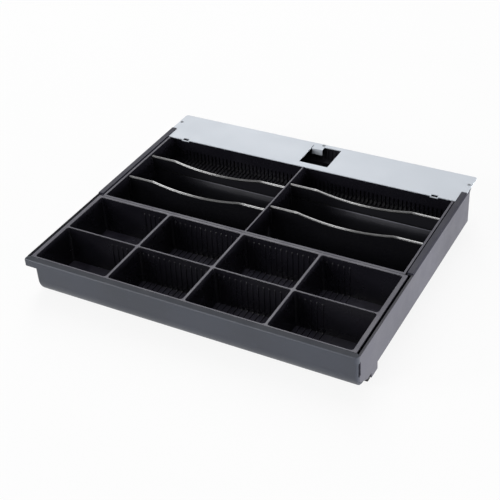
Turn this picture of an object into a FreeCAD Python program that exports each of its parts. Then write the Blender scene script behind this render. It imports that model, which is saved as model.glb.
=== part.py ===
import FreeCAD, Part
import Sketcher
import math
import os
import re

# Cash drawer insert: a sliding tray with eight coin cups in front, two note bays behind
# and a steel cover plate over its rear end. Sizes are in millimetres.
# The origin is on the standing surface under the middle of the outline. +X runs to the
# right of a person who opens the drawer, +Y to the rear and +Z up.

SIZES = {
    # the whole insert
    "overall_width": 400.0,
    "overall_depth": 351.0,
    "rim_height": 53.0,
    "fit": 0.3,
    # outer tray
    "side_wall": 2.6,
    "wall_drop": 1.0,
    "rear_overhang": 37.0,
    "wall_overhang": 29.0,
    "rear_wall": 2.6,
    "latch_margin": 4.0,
    "latch_gap_drop": 22.0,
    "ledge_height": 9.8,
    "sheet": 2.0,
    "flange_width": 7.2,
    "pan_inset": 6.1,
    "pan_wall": 1.6,
    "pan_start": 34.5,
    "floor_lift": 1.0,
    "step_start": 34.0,
    "step_end": 49.5,
    "step_lift": 0.7,
    "left_notch": 18.0,
    "nose_drop": 32.5,
    "nose_length": 24.0,
    "slot_width": 2.2,
    "slot_reach": 2.0,
    "slot_top": 9.0,
    "slot_length": 17.0,
    "ear_length": 16.0,
    "ear_width": 9.0,
    "ear_taper": 2.3,
    # front fascia
    "fascia_top": 7.0,
    "fascia_wall": 2.4,
    "fascia_sheet": 1.8,
    "fascia_return": 4.5,
    "fascia_curve": 19.5,
    "fascia_lift": 7.2,
    "fascia_heel": 28.8,
    "heel_lap": 2.0,
    "heel_bend": 0.8,
    "lip_drop": 9.2,
    "lip_step": 0.8,
    "left_setback": 13.0,
    "corner_radius": 4.5,
    "left_corner": 2.8,
    "lip_round": 2.5,
    "under_lip": 6.0,
    "tongue_end": 48.0,
    # coin tray
    "tray_gap": 2.2,
    "coin_rim": 4.9,
    "rim_sheet": 2.5,
    "coin_wall": 3.0,
    "cross_wall": 1.8,
    "coin_front_wall": 2.0,
    "coin_rear_wall": 3.3,
    "coin_floor": 2.0,
    "coin_runner": 2.2,
    "runner_width": 3.0,
    "runner_end": 4.0,
    "front_cup": 61.0,
    "rear_cup": 66.0,
    "coin_draft": 1.2,
    "coin_side_draft": 1.7,
    "coin_scoop": 38.0,
    "cup_corner": 3.0,
    # note tray and its dividers
    "note_front_wall": 3.1,
    "note_side_wall": 2.8,
    "note_rear_wall": 2.0,
    "note_seam": 1.5,
    "centre_wall": 2.0,
    "note_floor": 2.0,
    "note_skirt": 4.0,
    "note_cove": 18.0,
    "guide_depth": 1.8,
    "guide_width": 1.5,
    "left_shift": -2.2,
    "right_shift": 7.0,
    "divider_sheet": 1.6,
    "divider_drop": 3.0,
    "divider_sag": 6.3,
    "dip_half": 60.0,
    "dip_blend": 14.0,
    "bead_diameter": 3.2,
    "bend_drop": 20.0,
    "bend_shift": 8.0,
    # glide strips
    "strip_start": 145.0,
    "strip_width": 6.6,
    "strip_inset": 0.6,
    "strip_height": 2.0,
    "strip_bevel": 0.9,
    # cover plate
    "cover_depth": 57.5,
    "cover_inset": 0.9,
    "cover_sheet": 1.0,
    "cover_bearing": 8.5,
    "cover_corner": 3.0,
    "window_width": 38.0,
    "window_length": 42.0,
    "window_inset": 6.0,
    "window_offset": 8.2,
    "hook_width": 14.2,
    "hook_inset": 0.9,
    "hook_reach": 7.5,
    "hook_drop": 8.0,
    "hook_bend": 0.9,
    "lance_offset": 167.0,
    "lance_width": 8.0,
    "lance_length": 2.5,
    "lance_bridge": 1.1,
    "lance_drop": 0.9,
    "lance_step": 0.2,
    # rear housing under the cover
    "housing_inset": 27.0,
    "housing_wall": 2.5,
    "housing_lift": 10.0,
    "housing_ledge": 8.5,
    "housing_ledge_drop": 18.0,
    "rib_pitch": 5.0,
    "rib_width": 1.8,
    "rib_depth": 1.2,
    "rib_top": 2.5,
    "cover_boss_radius": 2.4,
    "cover_boss_height": 6.0,
    # screws and feet
    "screw_radius": 1.2,
    "screw_clearance": 0.1,
    "screw_head": 2.4,
    "screw_head_height": 0.9,
    "cover_screw_head": 1.95,
    "cover_screw_length": 4.0,
    "cover_screw_inset": 4.4,
    "cover_screw_back": 19.0,
    "rear_screw_back": 3.2,
    "rear_screw_offset": 2.0,
    "boss_radius": 4.0,
    "fascia_screw_pitch": 100.0,
    "fascia_screw_end": 6.0,
    "tray_screw_offset": 120.0,
    "tray_screw_inset": 20.0,
    "housing_screw_outer": 150.0,
    "housing_screw_inner": 60.0,
    "housing_screw_lift": 14.0,
    "screw_point": 1.0,
    "foot_width": 6.7,
    "foot_length": 6.5,
    "foot_start": 27.0,
    "foot_inset": 1.2,
    "left_foot_inset": 4.0,
    "foot_round": 1.2,
    "rear_foot_radius": 6.0,
    "rear_foot_inset": 20.0,
}

CUPS_ACROSS = 4
BAYS = {"left": -1, "right": 1}
ROWS = {"front": 1, "rear": 2}
SPACES_PER_BAY = len(ROWS) + 1
WINDOW_RIBS = 9

doc = FreeCAD.newDocument("cash_drawer_insert")
sheet = doc.addObject("Spreadsheet::Sheet", "dims")
for row, (alias, length) in enumerate(SIZES.items(), start=1):
    sheet.set(f"A{row}", str(length))
    sheet.setAlias(f"A{row}", alias)
doc.recompute()


def formula(text):
    """Point each name in a formula at the cell that has that name."""
    return re.sub(r"[a-z][a-z_]+", lambda found: "dims." + found.group(), text)


def behind(text):
    """Distance behind the front face, as a place along Y."""
    return f"({text}) - overall_depth / 2"


def below(text):
    """Depth below the rims, as a place along Z."""
    return f"rim_height - ({text})"


def place(item, x, y, z):
    for axis, text in zip("xyz", (x, y, z)):
        item.setExpression(f"Placement.Base.{axis}", formula(text))


def box(name, x, y, z, length, width, height):
    """A block from its low corner and its three sizes."""
    item = doc.addObject("Part::Box", name)
    place(item, x, y, z)
    for side, text in (("Length", length), ("Width", width), ("Height", height)):
        item.setExpression(side, formula(text))
    return item


def span(name, x0, x1, y0, y1, z0, z1):
    """A block from its low and high limits on each axis."""
    return box(name, x0, y0, z0, f"({x1}) - ({x0})", f"({y1}) - ({y0})", f"({z1}) - ({z0})")


def centred(name, half_width, y0, y1, z0, z1):
    """A block that spans the middle plane."""
    return span(name, f"-({half_width})", half_width, y0, y1, z0, z1)


AXES = {"x": FreeCAD.Vector(1, 0, 0), "y": FreeCAD.Vector(0, 1, 0), "z": FreeCAD.Vector(0, 0, 1)}


def cylinder(name, x, y, z, radius, height, axis="z"):
    """A round bar from the middle of its first end face."""
    item = doc.addObject("Part::Cylinder", name)
    item.Placement.Rotation = FreeCAD.Rotation(AXES["z"], AXES[axis])
    place(item, x, y, z)
    item.setExpression("Radius", formula(radius))
    item.setExpression("Height", formula(height))
    return item


def taper(name, x0, x1, y0, y1, z0, z1, draft_x, draft_y):
    """A block that narrows towards its floor by a draft on each side."""
    item = doc.addObject("Part::Wedge", name)
    item.Placement.Rotation = FreeCAD.Rotation(AXES["x"], 90)
    place(item, "0", "0", z0)
    limits = {
        "Xmin": f"({x0}) + {draft_x}", "Xmax": f"({x1}) - {draft_x}", "X2min": x0, "X2max": x1,
        "Zmin": f"{draft_y} - ({y1})", "Zmax": f"-({y0}) - {draft_y}",
        "Z2min": f"-({y1})", "Z2max": f"-({y0})",
        "Ymin": "0", "Ymax": f"({z1}) - ({z0})",
    }
    for limit, text in limits.items():
        item.setExpression(limit, formula(text))
    return item


def fuse(name, pieces):
    item = doc.addObject("Part::MultiFuse", name)
    item.Shapes = pieces
    item.Refine = True
    return item


def cut(name, base, tools):
    item = doc.addObject("Part::Cut", name)
    item.Base = base
    item.Tool = tools[0] if len(tools) == 1 else fuse(name + "_tools", tools)
    item.Refine = True
    return item


def outside_corner(name, x0, x1, y, z, radius, toward):
    """What a round edge along X leaves of its square corner. The block's corner is at y, z;
    toward is +1 where the block lies behind the corner and -1 where it lies in front."""
    y_far = f"({y}) + {toward} * ({radius})"
    low, high = (y, y_far) if toward > 0 else (y_far, y)
    corner = span(name + "_block", x0, x1, low, high, z, f"({z}) + ({radius})")
    bar = cylinder(name + "_bar", x0, y_far, f"({z}) + ({radius})", radius, f"({x1}) - ({x0})", "x")
    return cut(name, corner, [bar])


def rounded(name, base, radius, chosen):
    """Round the edges of base that chosen picks by their middle point and direction."""
    doc.recompute()
    edges = []
    for index, edge in enumerate(base.Shape.Edges, start=1):
        first, last = edge.FirstParameter, edge.LastParameter
        direction = edge.valueAt(last) - edge.valueAt(first)
        if direction.Length > 0.01 and chosen(edge.valueAt((first + last) / 2), direction.normalize()):
            edges.append((index, radius, radius))
    item = doc.addObject("Part::Fillet", name)
    item.Base = base
    item.Edges = edges
    return item


def sketch_on(body, name, plane):
    """An empty sketch on one of the body's own planes."""
    sketch = body.newObject("Sketcher::SketchObject", name)
    role_plane = next(item for item in body.Origin.OriginFeatures if item.Role == plane)
    sketch.AttachmentSupport = (role_plane, [""])
    sketch.MapMode = "FlatFace"
    return sketch


def pin(sketch, edge, end, across=None, up=None):
    """Hold a point of a sketch at its distances from the sketch's origin."""
    for kind, text in (("DistanceX", across), ("DistanceY", up)):
        if text is not None:
            index = sketch.addConstraint(Sketcher.Constraint(kind, -1, 1, edge, end, 1.0))
            sketch.setExpression(f"Constraints[{index}]", formula(text))


def draw_outline(sketch, places):
    """A closed outline of straight lines through the places."""
    count = len(places)
    for index in range(count):
        turn, after = (2 * math.pi * step / count for step in (index, index + 1))
        sketch.addGeometry(Part.LineSegment(FreeCAD.Vector(math.cos(turn), math.sin(turn), 0),
                                            FreeCAD.Vector(math.cos(after), math.sin(after), 0)))
    for index, (across, up) in enumerate(places):
        sketch.addConstraint(Sketcher.Constraint("Coincident", index, 2, (index + 1) % count, 1))
        pin(sketch, index, 1, across, up)


def prism(name, places, x0, x1):
    """A bar along X whose section is an outline of places given as Y and Z."""
    body = doc.addObject("PartDesign::Body", name)
    outline = sketch_on(body, name + "_outline", "YZ_Plane")
    draw_outline(outline, places)
    pad = body.newObject("PartDesign::Pad", name + "_pad")
    pad.Profile = outline
    pad.setExpression("Length", formula(f"({x1}) - ({x0})"))
    body.setExpression("Placement.Base.x", formula(x0))
    return body


def near(first, second, allowed=0.02):
    return abs(first - second) < allowed


def label(item, name):
    item.Label = name
    parts.append(item)
    return item


parts = []
size = {alias: float(sheet.get(alias)) for alias in SIZES}

# Shared places and limits, as formulas.
HALF = "overall_width / 2"
WALL_TOP = below("wall_drop")
WALL_INSIDE = f"({HALF} - side_wall)"
WALL_REAR = behind("overall_depth - wall_overhang")
PAN_REAR = behind("overall_depth - rear_overhang")
FLOOR_TOP = "(floor_lift + sheet)"
PAN_HALF = f"({HALF} - pan_inset)"
PAN_INSIDE = f"({PAN_HALF} - pan_wall)"
FASCIA_BACK = "(fascia_top + fit)"
FASCIA_LEFT = f"-({HALF} - left_setback)"
COIN_UNDER = f"({FLOOR_TOP} + coin_runner)"
COIN_BASE = f"({COIN_UNDER} + coin_floor)"
COIN_INSIDE = f"({WALL_INSIDE} - tray_gap - coin_rim)"
COIN_END = f"({FASCIA_BACK} + coin_front_wall + front_cup + cross_wall + rear_cup + coin_rear_wall)"
NOTE_FRONT = f"({COIN_END} + fit)"
NOTE_HALF = f"({HALF} - flange_width - note_seam)"
NOTE_INSIDE = f"({NOTE_HALF} - note_side_wall)"
COVER_FRONT = "(overall_depth - cover_depth)"
NOTE_REAR = f"({COVER_FRONT} + cover_bearing)"
BAY_FRONT = f"({NOTE_FRONT} + note_front_wall)"
BAY_REAR = f"({NOTE_REAR} - note_rear_wall)"
BAY_BASE = f"({FLOOR_TOP} + note_skirt + note_floor)"
BAY_WIDTH = f"({NOTE_INSIDE} - centre_wall / 2)"
DIVIDER_REACH = f"({BAY_WIDTH} / 2 - 2 * fit)"
COVER_UNDER = below("cover_sheet")
HOUSING_FRONT = "(overall_depth - rear_overhang)"
HOUSING_HALF = f"({HALF} - housing_inset)"
SCREW_HOLE = "screw_radius + screw_clearance"

# Places of the hidden screws: across from the middle, and behind the front face.
FASCIA_SCREWS = [(f"({step} * fascia_screw_pitch)", "(tongue_end - fascia_screw_end)")
                 for step in (-1.5, -0.5, 0.5, 1.5)]
TRAY_SCREWS = [(f"({sign} * tray_screw_offset)", back) for sign in BAYS.values()
               for back in (f"({BAY_FRONT} + tray_screw_inset)", f"({BAY_REAR} - tray_screw_inset)")]
HOUSING_SCREWS = [f"({sign} * {offset})" for sign in BAYS.values()
                  for offset in ("housing_screw_outer", "housing_screw_inner")]
HOUSING_SCREW_HEIGHT = "(housing_lift + housing_screw_lift)"
COVER_SCREWS = [
    (f"-({HALF} - cover_screw_inset)", "(overall_depth - cover_screw_back)"),
    (f"({HALF} - cover_screw_inset)", "(overall_depth - cover_screw_back)"),
    ("rear_screw_offset", "(overall_depth - rear_screw_back)"),
]


def upright_holes(name, places, z, height, radius=SCREW_HOLE):
    return [cylinder(f"{name}_{index}", x, behind(y), z, radius, height)
            for index, (x, y) in enumerate(places)]


def divider_middle(row, shift):
    """Where a divider stands, behind the front face: the bay in equal spaces, then its shift."""
    return f"({BAY_FRONT} + ({BAY_REAR} - {BAY_FRONT}) * {row} / {SPACES_PER_BAY} + {shift})"


def side_wall(side, sign):
    """One side of the outer tray: its wall, the stepped foot of the wall, the ledge that the
    drawer runs on and the flange under the glide strip."""
    def across(name, inner, outer, *limits):
        low, high = (inner, outer) if sign > 0 else (f"-({outer})", f"-({inner})")
        return span(f"{side}_{name}", low, high, *limits)

    wall_front = behind("fascia_return" if sign > 0 else FASCIA_BACK)
    low_front = behind("fascia_return" if sign > 0 else "left_notch")
    lip_under = below("lip_drop")
    pieces = [
        across("upper_wall", WALL_INSIDE, HALF, wall_front, WALL_REAR, lip_under, WALL_TOP),
        across("wall", WALL_INSIDE, HALF, low_front, WALL_REAR, "ledge_height", lip_under),
        across("low_wall", WALL_INSIDE, HALF, low_front, behind("step_end"), "fascia_lift",
               "ledge_height + sheet"),
        across("step", WALL_INSIDE, HALF, behind("step_start"), behind("step_end"), "step_lift",
               "ledge_height"),
        across("ledge", PAN_INSIDE, HALF, behind("pan_start"), PAN_REAR, "ledge_height",
               "ledge_height + sheet"),
        across("pan_wall", PAN_INSIDE, PAN_HALF, behind("pan_start"), PAN_REAR, "floor_lift",
               "ledge_height + sheet"),
        across("flange", f"({HALF} - flange_width)", HALF, behind("strip_start"), WALL_REAR,
               f"{WALL_TOP} - sheet", WALL_TOP),
    ]
    ear = doc.addObject("Part::Wedge", f"{side}_ear")
    inner = f"{HALF} - ear_width"
    ear_limits = {
        "Xmin": inner, "Xmax": HALF, "X2min": inner, "X2max": f"{HALF} - ear_taper",
        "Ymin": "0", "Ymax": "ear_length",
        "Zmin": "0", "Z2min": "0", "Zmax": "sheet", "Z2max": "sheet",
    }
    for limit, text in ear_limits.items():
        ear.setExpression(limit, formula(text))
    if sign < 0:
        ear.Placement.Rotation = FreeCAD.Rotation(AXES["y"], 180)
    place(ear, "0", WALL_REAR, f"{COVER_UNDER} - sheet" if sign > 0 else COVER_UNDER)
    return pieces + [ear]


def wall_nose(side, sign):
    """What the slanting lower front edge of a side wall leaves of its square corner."""
    start, end = behind("lip_step"), behind("nose_length")
    places = [(start, below("nose_drop")), (start, "-1"), (end, "-1"), (end, "fascia_lift")]
    low, high = (WALL_INSIDE, HALF) if sign > 0 else (f"-({HALF})", f"-({WALL_INSIDE})")
    return prism(f"{side}_nose", places, low, high)


def drawer_tray():
    floor = centred("pan_floor", PAN_HALF, behind("pan_start"), PAN_REAR, "floor_lift", FLOOR_TOP)
    rear = centred("rear_wall", HALF, f"{PAN_REAR} - rear_wall", PAN_REAR, "ledge_height", WALL_TOP)
    low_rear = centred("low_rear_wall", PAN_HALF, f"{PAN_REAR} - rear_wall", PAN_REAR,
                       "floor_lift", "ledge_height")
    body = fuse("tray_body", [floor, rear, low_rear] + side_wall("left", -1) + side_wall("right", 1))
    latch_gap = span("latch_gap", "window_offset - window_width / 2 - latch_margin",
                     "window_offset + window_width / 2 + latch_margin",
                     f"{PAN_REAR} - rear_wall", PAN_REAR, f"{WALL_TOP} - latch_gap_drop", WALL_TOP)
    slot = span("side_slot", WALL_INSIDE, HALF, behind("fascia_return"),
                behind("fascia_return + slot_width"), below("slot_top + slot_length"), below("slot_top"))
    noses = [wall_nose(side, sign) for side, sign in BAYS.items()]
    screws = upright_holes("floor_hole", FASCIA_SCREWS + TRAY_SCREWS, "floor_lift", "sheet")
    ears = upright_holes("ear_hole", COVER_SCREWS[:2], f"{COVER_UNDER} - sheet", "sheet")
    back = [cylinder(f"rear_wall_hole_{index}", x, f"{PAN_REAR} - rear_wall", HOUSING_SCREW_HEIGHT,
                     SCREW_HOLE, "rear_wall", "y") for index, x in enumerate(HOUSING_SCREWS)]
    return label(cut("tray", body, [latch_gap, slot] + noses + screws + ears + back), "drawer_tray")


def fascia_shell():
    """The curved front with its lip, solid, with its edges rounded."""
    front = -size["overall_depth"] / 2
    top = size["rim_height"]
    left_end = size["left_setback"] - size["overall_width"] / 2
    right_end = size["overall_width"] / 2
    block = span("fascia_block", FASCIA_LEFT, HALF, behind("lip_step"), behind("fascia_heel"),
                 "fascia_lift", below("0"))
    nose = outside_corner("fascia_nose", FASCIA_LEFT, HALF, behind("lip_step"), "fascia_lift",
                          "fascia_curve", 1)

    def end_profile(middle, direction):
        on_end = near(middle.x, left_end) or near(middle.x, right_end)
        in_front = middle.y < front + size["fascia_curve"] and middle.z < top - 1
        return on_end and in_front and abs(direction.x) < 0.01

    body = rounded("fascia_rounded", cut("fascia_curved", block, [nose]),
                   size["corner_radius"] - size["lip_step"], end_profile)
    lip = span("lip_block", f"-({HALF})", HALF, behind("0"), behind("fascia_top"), below("lip_drop"),
               below("0"))

    def upright(middle, direction):
        return abs(direction.z) > 0.9 and near(middle.y, front)

    def top_edge(middle, direction):
        return abs(direction.x) > 0.9 and near(middle.y, front) and near(middle.z, top)

    lip = rounded("lip_right_corner", lip, size["corner_radius"],
                  lambda middle, direction: upright(middle, direction) and middle.x > 0)
    lip = rounded("lip_left_corner", lip, size["left_corner"],
                  lambda middle, direction: upright(middle, direction) and middle.x < 0)
    lip = rounded("lip_top", lip, size["lip_round"], top_edge)
    return fuse("fascia_solid", [body, lip, lip_web()])


def lip_web():
    """The hollow round under the end of the lip that reaches past the curved front."""
    low_x, low_z = f"({FASCIA_LEFT} - under_lip)", below("lip_drop + under_lip")
    block = span("web_block", low_x, FASCIA_LEFT, behind("corner_radius"), behind("fascia_top"),
                 low_z, below("lip_drop"))
    bar = cylinder("web_bar", low_x, behind("corner_radius"), low_z, "under_lip",
                   "fascia_top - corner_radius", "y")
    return cut("web", block, [bar])


def front_fascia():
    """A curved shell with a lip along its top and a tongue that reaches over the tray's floor."""
    inner_left, inner_right = f"{FASCIA_LEFT} + fascia_wall", f"{HALF} - fascia_wall"
    hollow = span("fascia_hollow", inner_left, inner_right, behind("lip_step + fascia_wall"),
                  behind("fascia_heel"), "fascia_lift + fascia_sheet", below("fascia_wall"))
    hollow_nose = outside_corner("hollow_nose", inner_left, inner_right, behind("lip_step + fascia_wall"),
                                 "fascia_lift + fascia_sheet", "fascia_curve - fascia_wall", 1)
    room_base = f"{COIN_UNDER} - fit"
    coin_room = span("coin_room", f"-({HALF})", HALF, behind("fascia_top"), behind("tongue_end"),
                     room_base, below("0"))
    room_nose = outside_corner("room_nose", f"-({HALF})", HALF, behind("fascia_top"), room_base,
                               "coin_scoop + coin_floor + fit", 1)
    wall_room = span("wall_room", WALL_INSIDE, HALF, behind("fascia_return"), behind("fascia_heel"),
                     "0", below("0"))
    slot = span("fascia_slot", WALL_INSIDE, HALF, behind("fascia_return - slot_reach"),
                behind("fascia_return"), below("slot_top + slot_length"), below("slot_top"))
    shell = cut("fascia_shell", fascia_shell(), [
        cut("fascia_hollow_curved", hollow, [hollow_nose]),
        cut("coin_room_curved", coin_room, [room_nose]),
        wall_room,
        slot,
    ])
    whole = fuse("fascia_whole", [shell, fascia_heel()])
    holes = upright_holes("tongue_hole", FASCIA_SCREWS, FLOOR_TOP, "fascia_sheet")
    return label(cut("fascia", whole, holes), "front_fascia")


def fascia_heel():
    """The sloping web and the tongue behind the curve, one bent sheet seen from the side."""
    start = behind("fascia_heel")
    foot = f"{start} + (fascia_lift - {FLOOR_TOP})"
    end = behind("tongue_end")
    places = [
        (f"{start} - heel_lap", "fascia_lift"),
        (start, "fascia_lift"),
        (foot, FLOOR_TOP),
        (end, FLOOR_TOP),
        (end, f"{FLOOR_TOP} + fascia_sheet"),
        (f"{foot} + heel_bend", f"{FLOOR_TOP} + fascia_sheet"),
        (f"{start} + heel_bend", "fascia_lift + fascia_sheet"),
        (f"{start} - heel_lap", "fascia_lift + fascia_sheet"),
    ]
    return prism("fascia_heel", places, f"{FASCIA_LEFT} + fascia_wall + fit", f"{PAN_INSIDE} - fit")


def coin_cup(name, column, y0, y1, scooped):
    width = f"((2 * {COIN_INSIDE} - {CUPS_ACROSS - 1} * coin_wall) / {CUPS_ACROSS})"
    x0 = f"(-{COIN_INSIDE} + {column} * ({width} + coin_wall))"
    x1 = f"({x0} + {width})"
    room = taper(name, x0, x1, behind(y0), behind(y1), COIN_BASE, below("0"), "coin_draft", "coin_draft")

    def upright(middle, direction):
        return abs(direction.z) > 0.9

    room = rounded(name + "_round", room, size["cup_corner"], upright)
    if scooped:
        nose = outside_corner(name + "_nose", x0, x1, behind(y0), COIN_BASE, "coin_scoop", 1)
        room = cut(name + "_scoop", room, [nose])
    return room


def coin_tray():
    """Eight cups in one moulding, with a rim that overhangs both sides and runners below."""
    under_half = f"({COIN_INSIDE} + coin_floor)"
    body = taper("coin_body", f"-{under_half}", under_half, behind(FASCIA_BACK), behind(COIN_END),
                 COIN_UNDER, below("0"), "coin_side_draft", "0")
    nose = outside_corner("coin_nose", f"-{under_half}", under_half, behind(FASCIA_BACK), COIN_UNDER,
                          "coin_scoop + coin_floor", 1)
    rim = centred("coin_rim_plate", f"({WALL_INSIDE} - tray_gap)", behind(FASCIA_BACK), behind(COIN_END),
                  below("rim_sheet"), below("0"))
    shell = fuse("coin_shell", [cut("coin_block", body, [nose]), rim])
    first = f"({FASCIA_BACK} + coin_front_wall)"
    second = f"({first} + front_cup + cross_wall)"
    cups = []
    for column in range(CUPS_ACROSS):
        cups.append(coin_cup(f"front_cup_{column}", column, first, f"({first} + front_cup)", True))
        cups.append(coin_cup(f"rear_cup_{column}", column, second, f"({second} + rear_cup)", False))
    tray = cut("coin_cut", shell, cups)
    runners = [coin_runner(side, sign) for side, sign in BAYS.items()]
    return label(fuse("coin", [tray] + runners), "coin_tray")


def coin_runner(side, sign):
    """A low rail under one side of the coin tray that stands on the floor."""
    outer = f"({COIN_INSIDE} - coin_draft)"
    inner = f"({outer} - runner_width)"
    low, high = (inner, outer) if sign > 0 else (f"-{outer}", f"-{inner}")
    return span(f"coin_runner_{side}", low, high, behind("tongue_end + runner_end"),
                behind(f"{COIN_END} - runner_end"), FLOOR_TOP, COIN_UNDER)


def note_bay(side, sign):
    inner, outer = "(centre_wall / 2)", NOTE_INSIDE
    low, high = (inner, outer) if sign > 0 else (f"-{outer}", f"-{inner}")
    room = span(f"{side}_bay", low, high, behind(BAY_FRONT), behind(BAY_REAR), BAY_BASE, below("0"))
    cove = outside_corner(f"{side}_cove", low, high, behind(BAY_REAR), BAY_BASE, "note_cove", -1)
    return cut(f"{side}_bay_room", room, [cove])


def divider_guides(side, sign, row, shift):
    """Two upright ribs on each end wall of a bay, with the divider's sheet between them."""
    guides = []
    middle = divider_middle(row, shift)
    near_gap = "(divider_sheet / 2 + fit)"
    walls = {"inner": ("centre_wall / 2", "centre_wall / 2 + guide_depth"),
             "outer": (f"{NOTE_INSIDE} - guide_depth", NOTE_INSIDE)}
    faces = {"ahead": (f"{middle} - {near_gap} - guide_width", f"{middle} - {near_gap}"),
             "after": (f"{middle} + {near_gap}", f"{middle} + {near_gap} + guide_width")}
    for wall, (inner, outer) in walls.items():
        low, high = (inner, outer) if sign > 0 else (f"-({outer})", f"-({inner})")
        for face, (y0, y1) in faces.items():
            guides.append(span(f"{side}_{row}_{wall}_{face}", low, high, behind(y0), behind(y1),
                               BAY_BASE, below("divider_drop + bead_diameter / 2 + 2 * fit")))
    return guides


def note_tray():
    block = centred("note_block", NOTE_HALF, behind(NOTE_FRONT), behind(NOTE_REAR), FLOOR_TOP, below("0"))
    hollow = centred("note_hollow", NOTE_INSIDE, behind(BAY_FRONT), behind(BAY_REAR), FLOOR_TOP,
                     f"{FLOOR_TOP} + note_skirt")
    seat = centred("cover_seat", NOTE_HALF, behind(f"{COVER_FRONT} - fit"), behind(NOTE_REAR),
                   COVER_UNDER, below("0"))
    rooms = [note_bay(side, sign) for side, sign in BAYS.items()]
    shell = cut("note_shell", block, rooms + [hollow, seat])
    bosses = upright_holes("note_boss", TRAY_SCREWS, FLOOR_TOP, "note_skirt", "boss_radius")
    guides = []
    for side, sign in BAYS.items():
        for row in ROWS.values():
            guides += divider_guides(side, sign, row, f"{side}_shift")
    whole = fuse("note_whole", [shell] + bosses + guides)
    holes = upright_holes("note_hole", TRAY_SCREWS, FLOOR_TOP, "note_skirt")
    return label(cut("note", whole, holes), "note_tray")


def dip_radius():
    """Radius of the dip that sinks by its sag between the two blends at its ends."""
    return "(dip_half ^ 2 + divider_sag ^ 2) / (2 * divider_sag) - dip_blend"


def draw_top_edge(sketch):
    """A divider's top edge from left to right: level, blend, dip, blend, level."""
    half, sag, blend = size["dip_half"], size["divider_sag"], size["dip_blend"]
    dip = (half**2 + sag**2) / (2 * sag) - blend
    turn = math.atan2(half, dip - sag + blend)
    upright = math.pi / 2

    def point(across, up):
        return FreeCAD.Vector(across, up, 0)

    def arc(across, up, radius, start, end):
        circle = Part.Circle(point(across, up), FreeCAD.Vector(0, 0, 1), radius)
        return Part.ArcOfCircle(circle, start, end)

    far = half + 2 * blend
    sketch.addGeometry(Part.LineSegment(point(-far, 0), point(-half, 0)))
    sketch.addGeometry(arc(-half, -blend, blend, upright - turn, upright))
    sketch.addGeometry(arc(0, dip - sag, dip, -upright - turn, -upright + turn))
    sketch.addGeometry(arc(half, -blend, blend, upright, upright + turn))
    sketch.addGeometry(Part.LineSegment(point(half, 0), point(far, 0)))
    for first, first_end, second, second_end in ((0, 2, 1, 2), (1, 1, 2, 1), (2, 2, 3, 2), (3, 1, 4, 1)):
        sketch.addConstraint(Sketcher.Constraint("Tangent", first, first_end, second, second_end))
    pin(sketch, 0, 1, f"-({DIVIDER_REACH})", "0")
    pin(sketch, 0, 2, "-dip_half", "0")
    pin(sketch, 4, 1, "dip_half", "0")
    pin(sketch, 4, 2, DIVIDER_REACH, "0")
    for edge, radius in ((1, "dip_blend"), (2, dip_radius())):
        index = sketch.addConstraint(Sketcher.Constraint("Radius", edge, 1.0))
        sketch.setExpression(f"Constraints[{index}]", formula(radius))


def divider(side, sign, row_name, row):
    """A bent sheet with a rolled bead along its dipped top edge."""
    name = f"divider_{side}_{row_name}"
    bend = "divider_drop - bend_drop"
    foot = f"{BAY_BASE} - rim_height + divider_drop"
    body = doc.addObject("PartDesign::Body", name)
    panel = sketch_on(body, name + "_panel", "XZ_Plane")
    draw_top_edge(panel)
    first = panel.addGeometry(Part.LineSegment(FreeCAD.Vector(80, 0, 0), FreeCAD.Vector(80, -17, 0)))
    panel.addGeometry(Part.LineSegment(FreeCAD.Vector(80, -17, 0), FreeCAD.Vector(-80, -17, 0)))
    panel.addGeometry(Part.LineSegment(FreeCAD.Vector(-80, -17, 0), FreeCAD.Vector(-80, 0, 0)))
    for before, after in ((4, first), (first, first + 1), (first + 1, first + 2)):
        panel.addConstraint(Sketcher.Constraint("Coincident", before, 2, after, 1))
    panel.addConstraint(Sketcher.Constraint("Coincident", first + 2, 2, 0, 1))
    pin(panel, first, 2, DIVIDER_REACH, bend)
    pin(panel, first + 1, 2, f"-({DIVIDER_REACH})", bend)
    upper = body.newObject("PartDesign::Pad", name + "_upper")
    upper.Profile = panel
    upper.SideType = "Symmetric"
    upper.setExpression("Length", formula("divider_sheet"))
    leaning = sketch_on(body, name + "_leaning", "YZ_Plane")
    draw_outline(leaning, [
        ("-divider_sheet / 2", bend),
        ("divider_sheet / 2", bend),
        ("divider_sheet / 2 - bend_shift", foot),
        ("-divider_sheet / 2 - bend_shift", foot),
    ])
    lower = body.newObject("PartDesign::Pad", name + "_lower")
    lower.Profile = leaning
    lower.SideType = "Symmetric"
    lower.setExpression("Length", formula(f"2 * ({DIVIDER_REACH} - guide_depth - fit)"))
    path = sketch_on(body, name + "_path", "XZ_Plane")
    draw_top_edge(path)
    ring = sketch_on(body, name + "_ring", "YZ_Plane")
    ring.setExpression("AttachmentOffset.Base.z", formula(f"-({DIVIDER_REACH})"))
    ring.addGeometry(Part.Circle(FreeCAD.Vector(0, 0, 0), FreeCAD.Vector(0, 0, 1), size["bead_diameter"] / 2))
    ring.addConstraint(Sketcher.Constraint("Coincident", 0, 3, -1, 1))
    index = ring.addConstraint(Sketcher.Constraint("Diameter", 0, size["bead_diameter"]))
    ring.setExpression(f"Constraints[{index}]", formula("bead_diameter"))
    bead = body.newObject("PartDesign::AdditivePipe", name + "_bead")
    bead.Profile = ring
    bead.Spine = path
    body.Tip = bead
    place(body, f"{sign} * (centre_wall / 2 + {BAY_WIDTH} / 2)",
          behind(divider_middle(row, f"{side}_shift")), below("divider_drop"))
    return label(body, f"note_divider_{side}_{row_name}")


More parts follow.
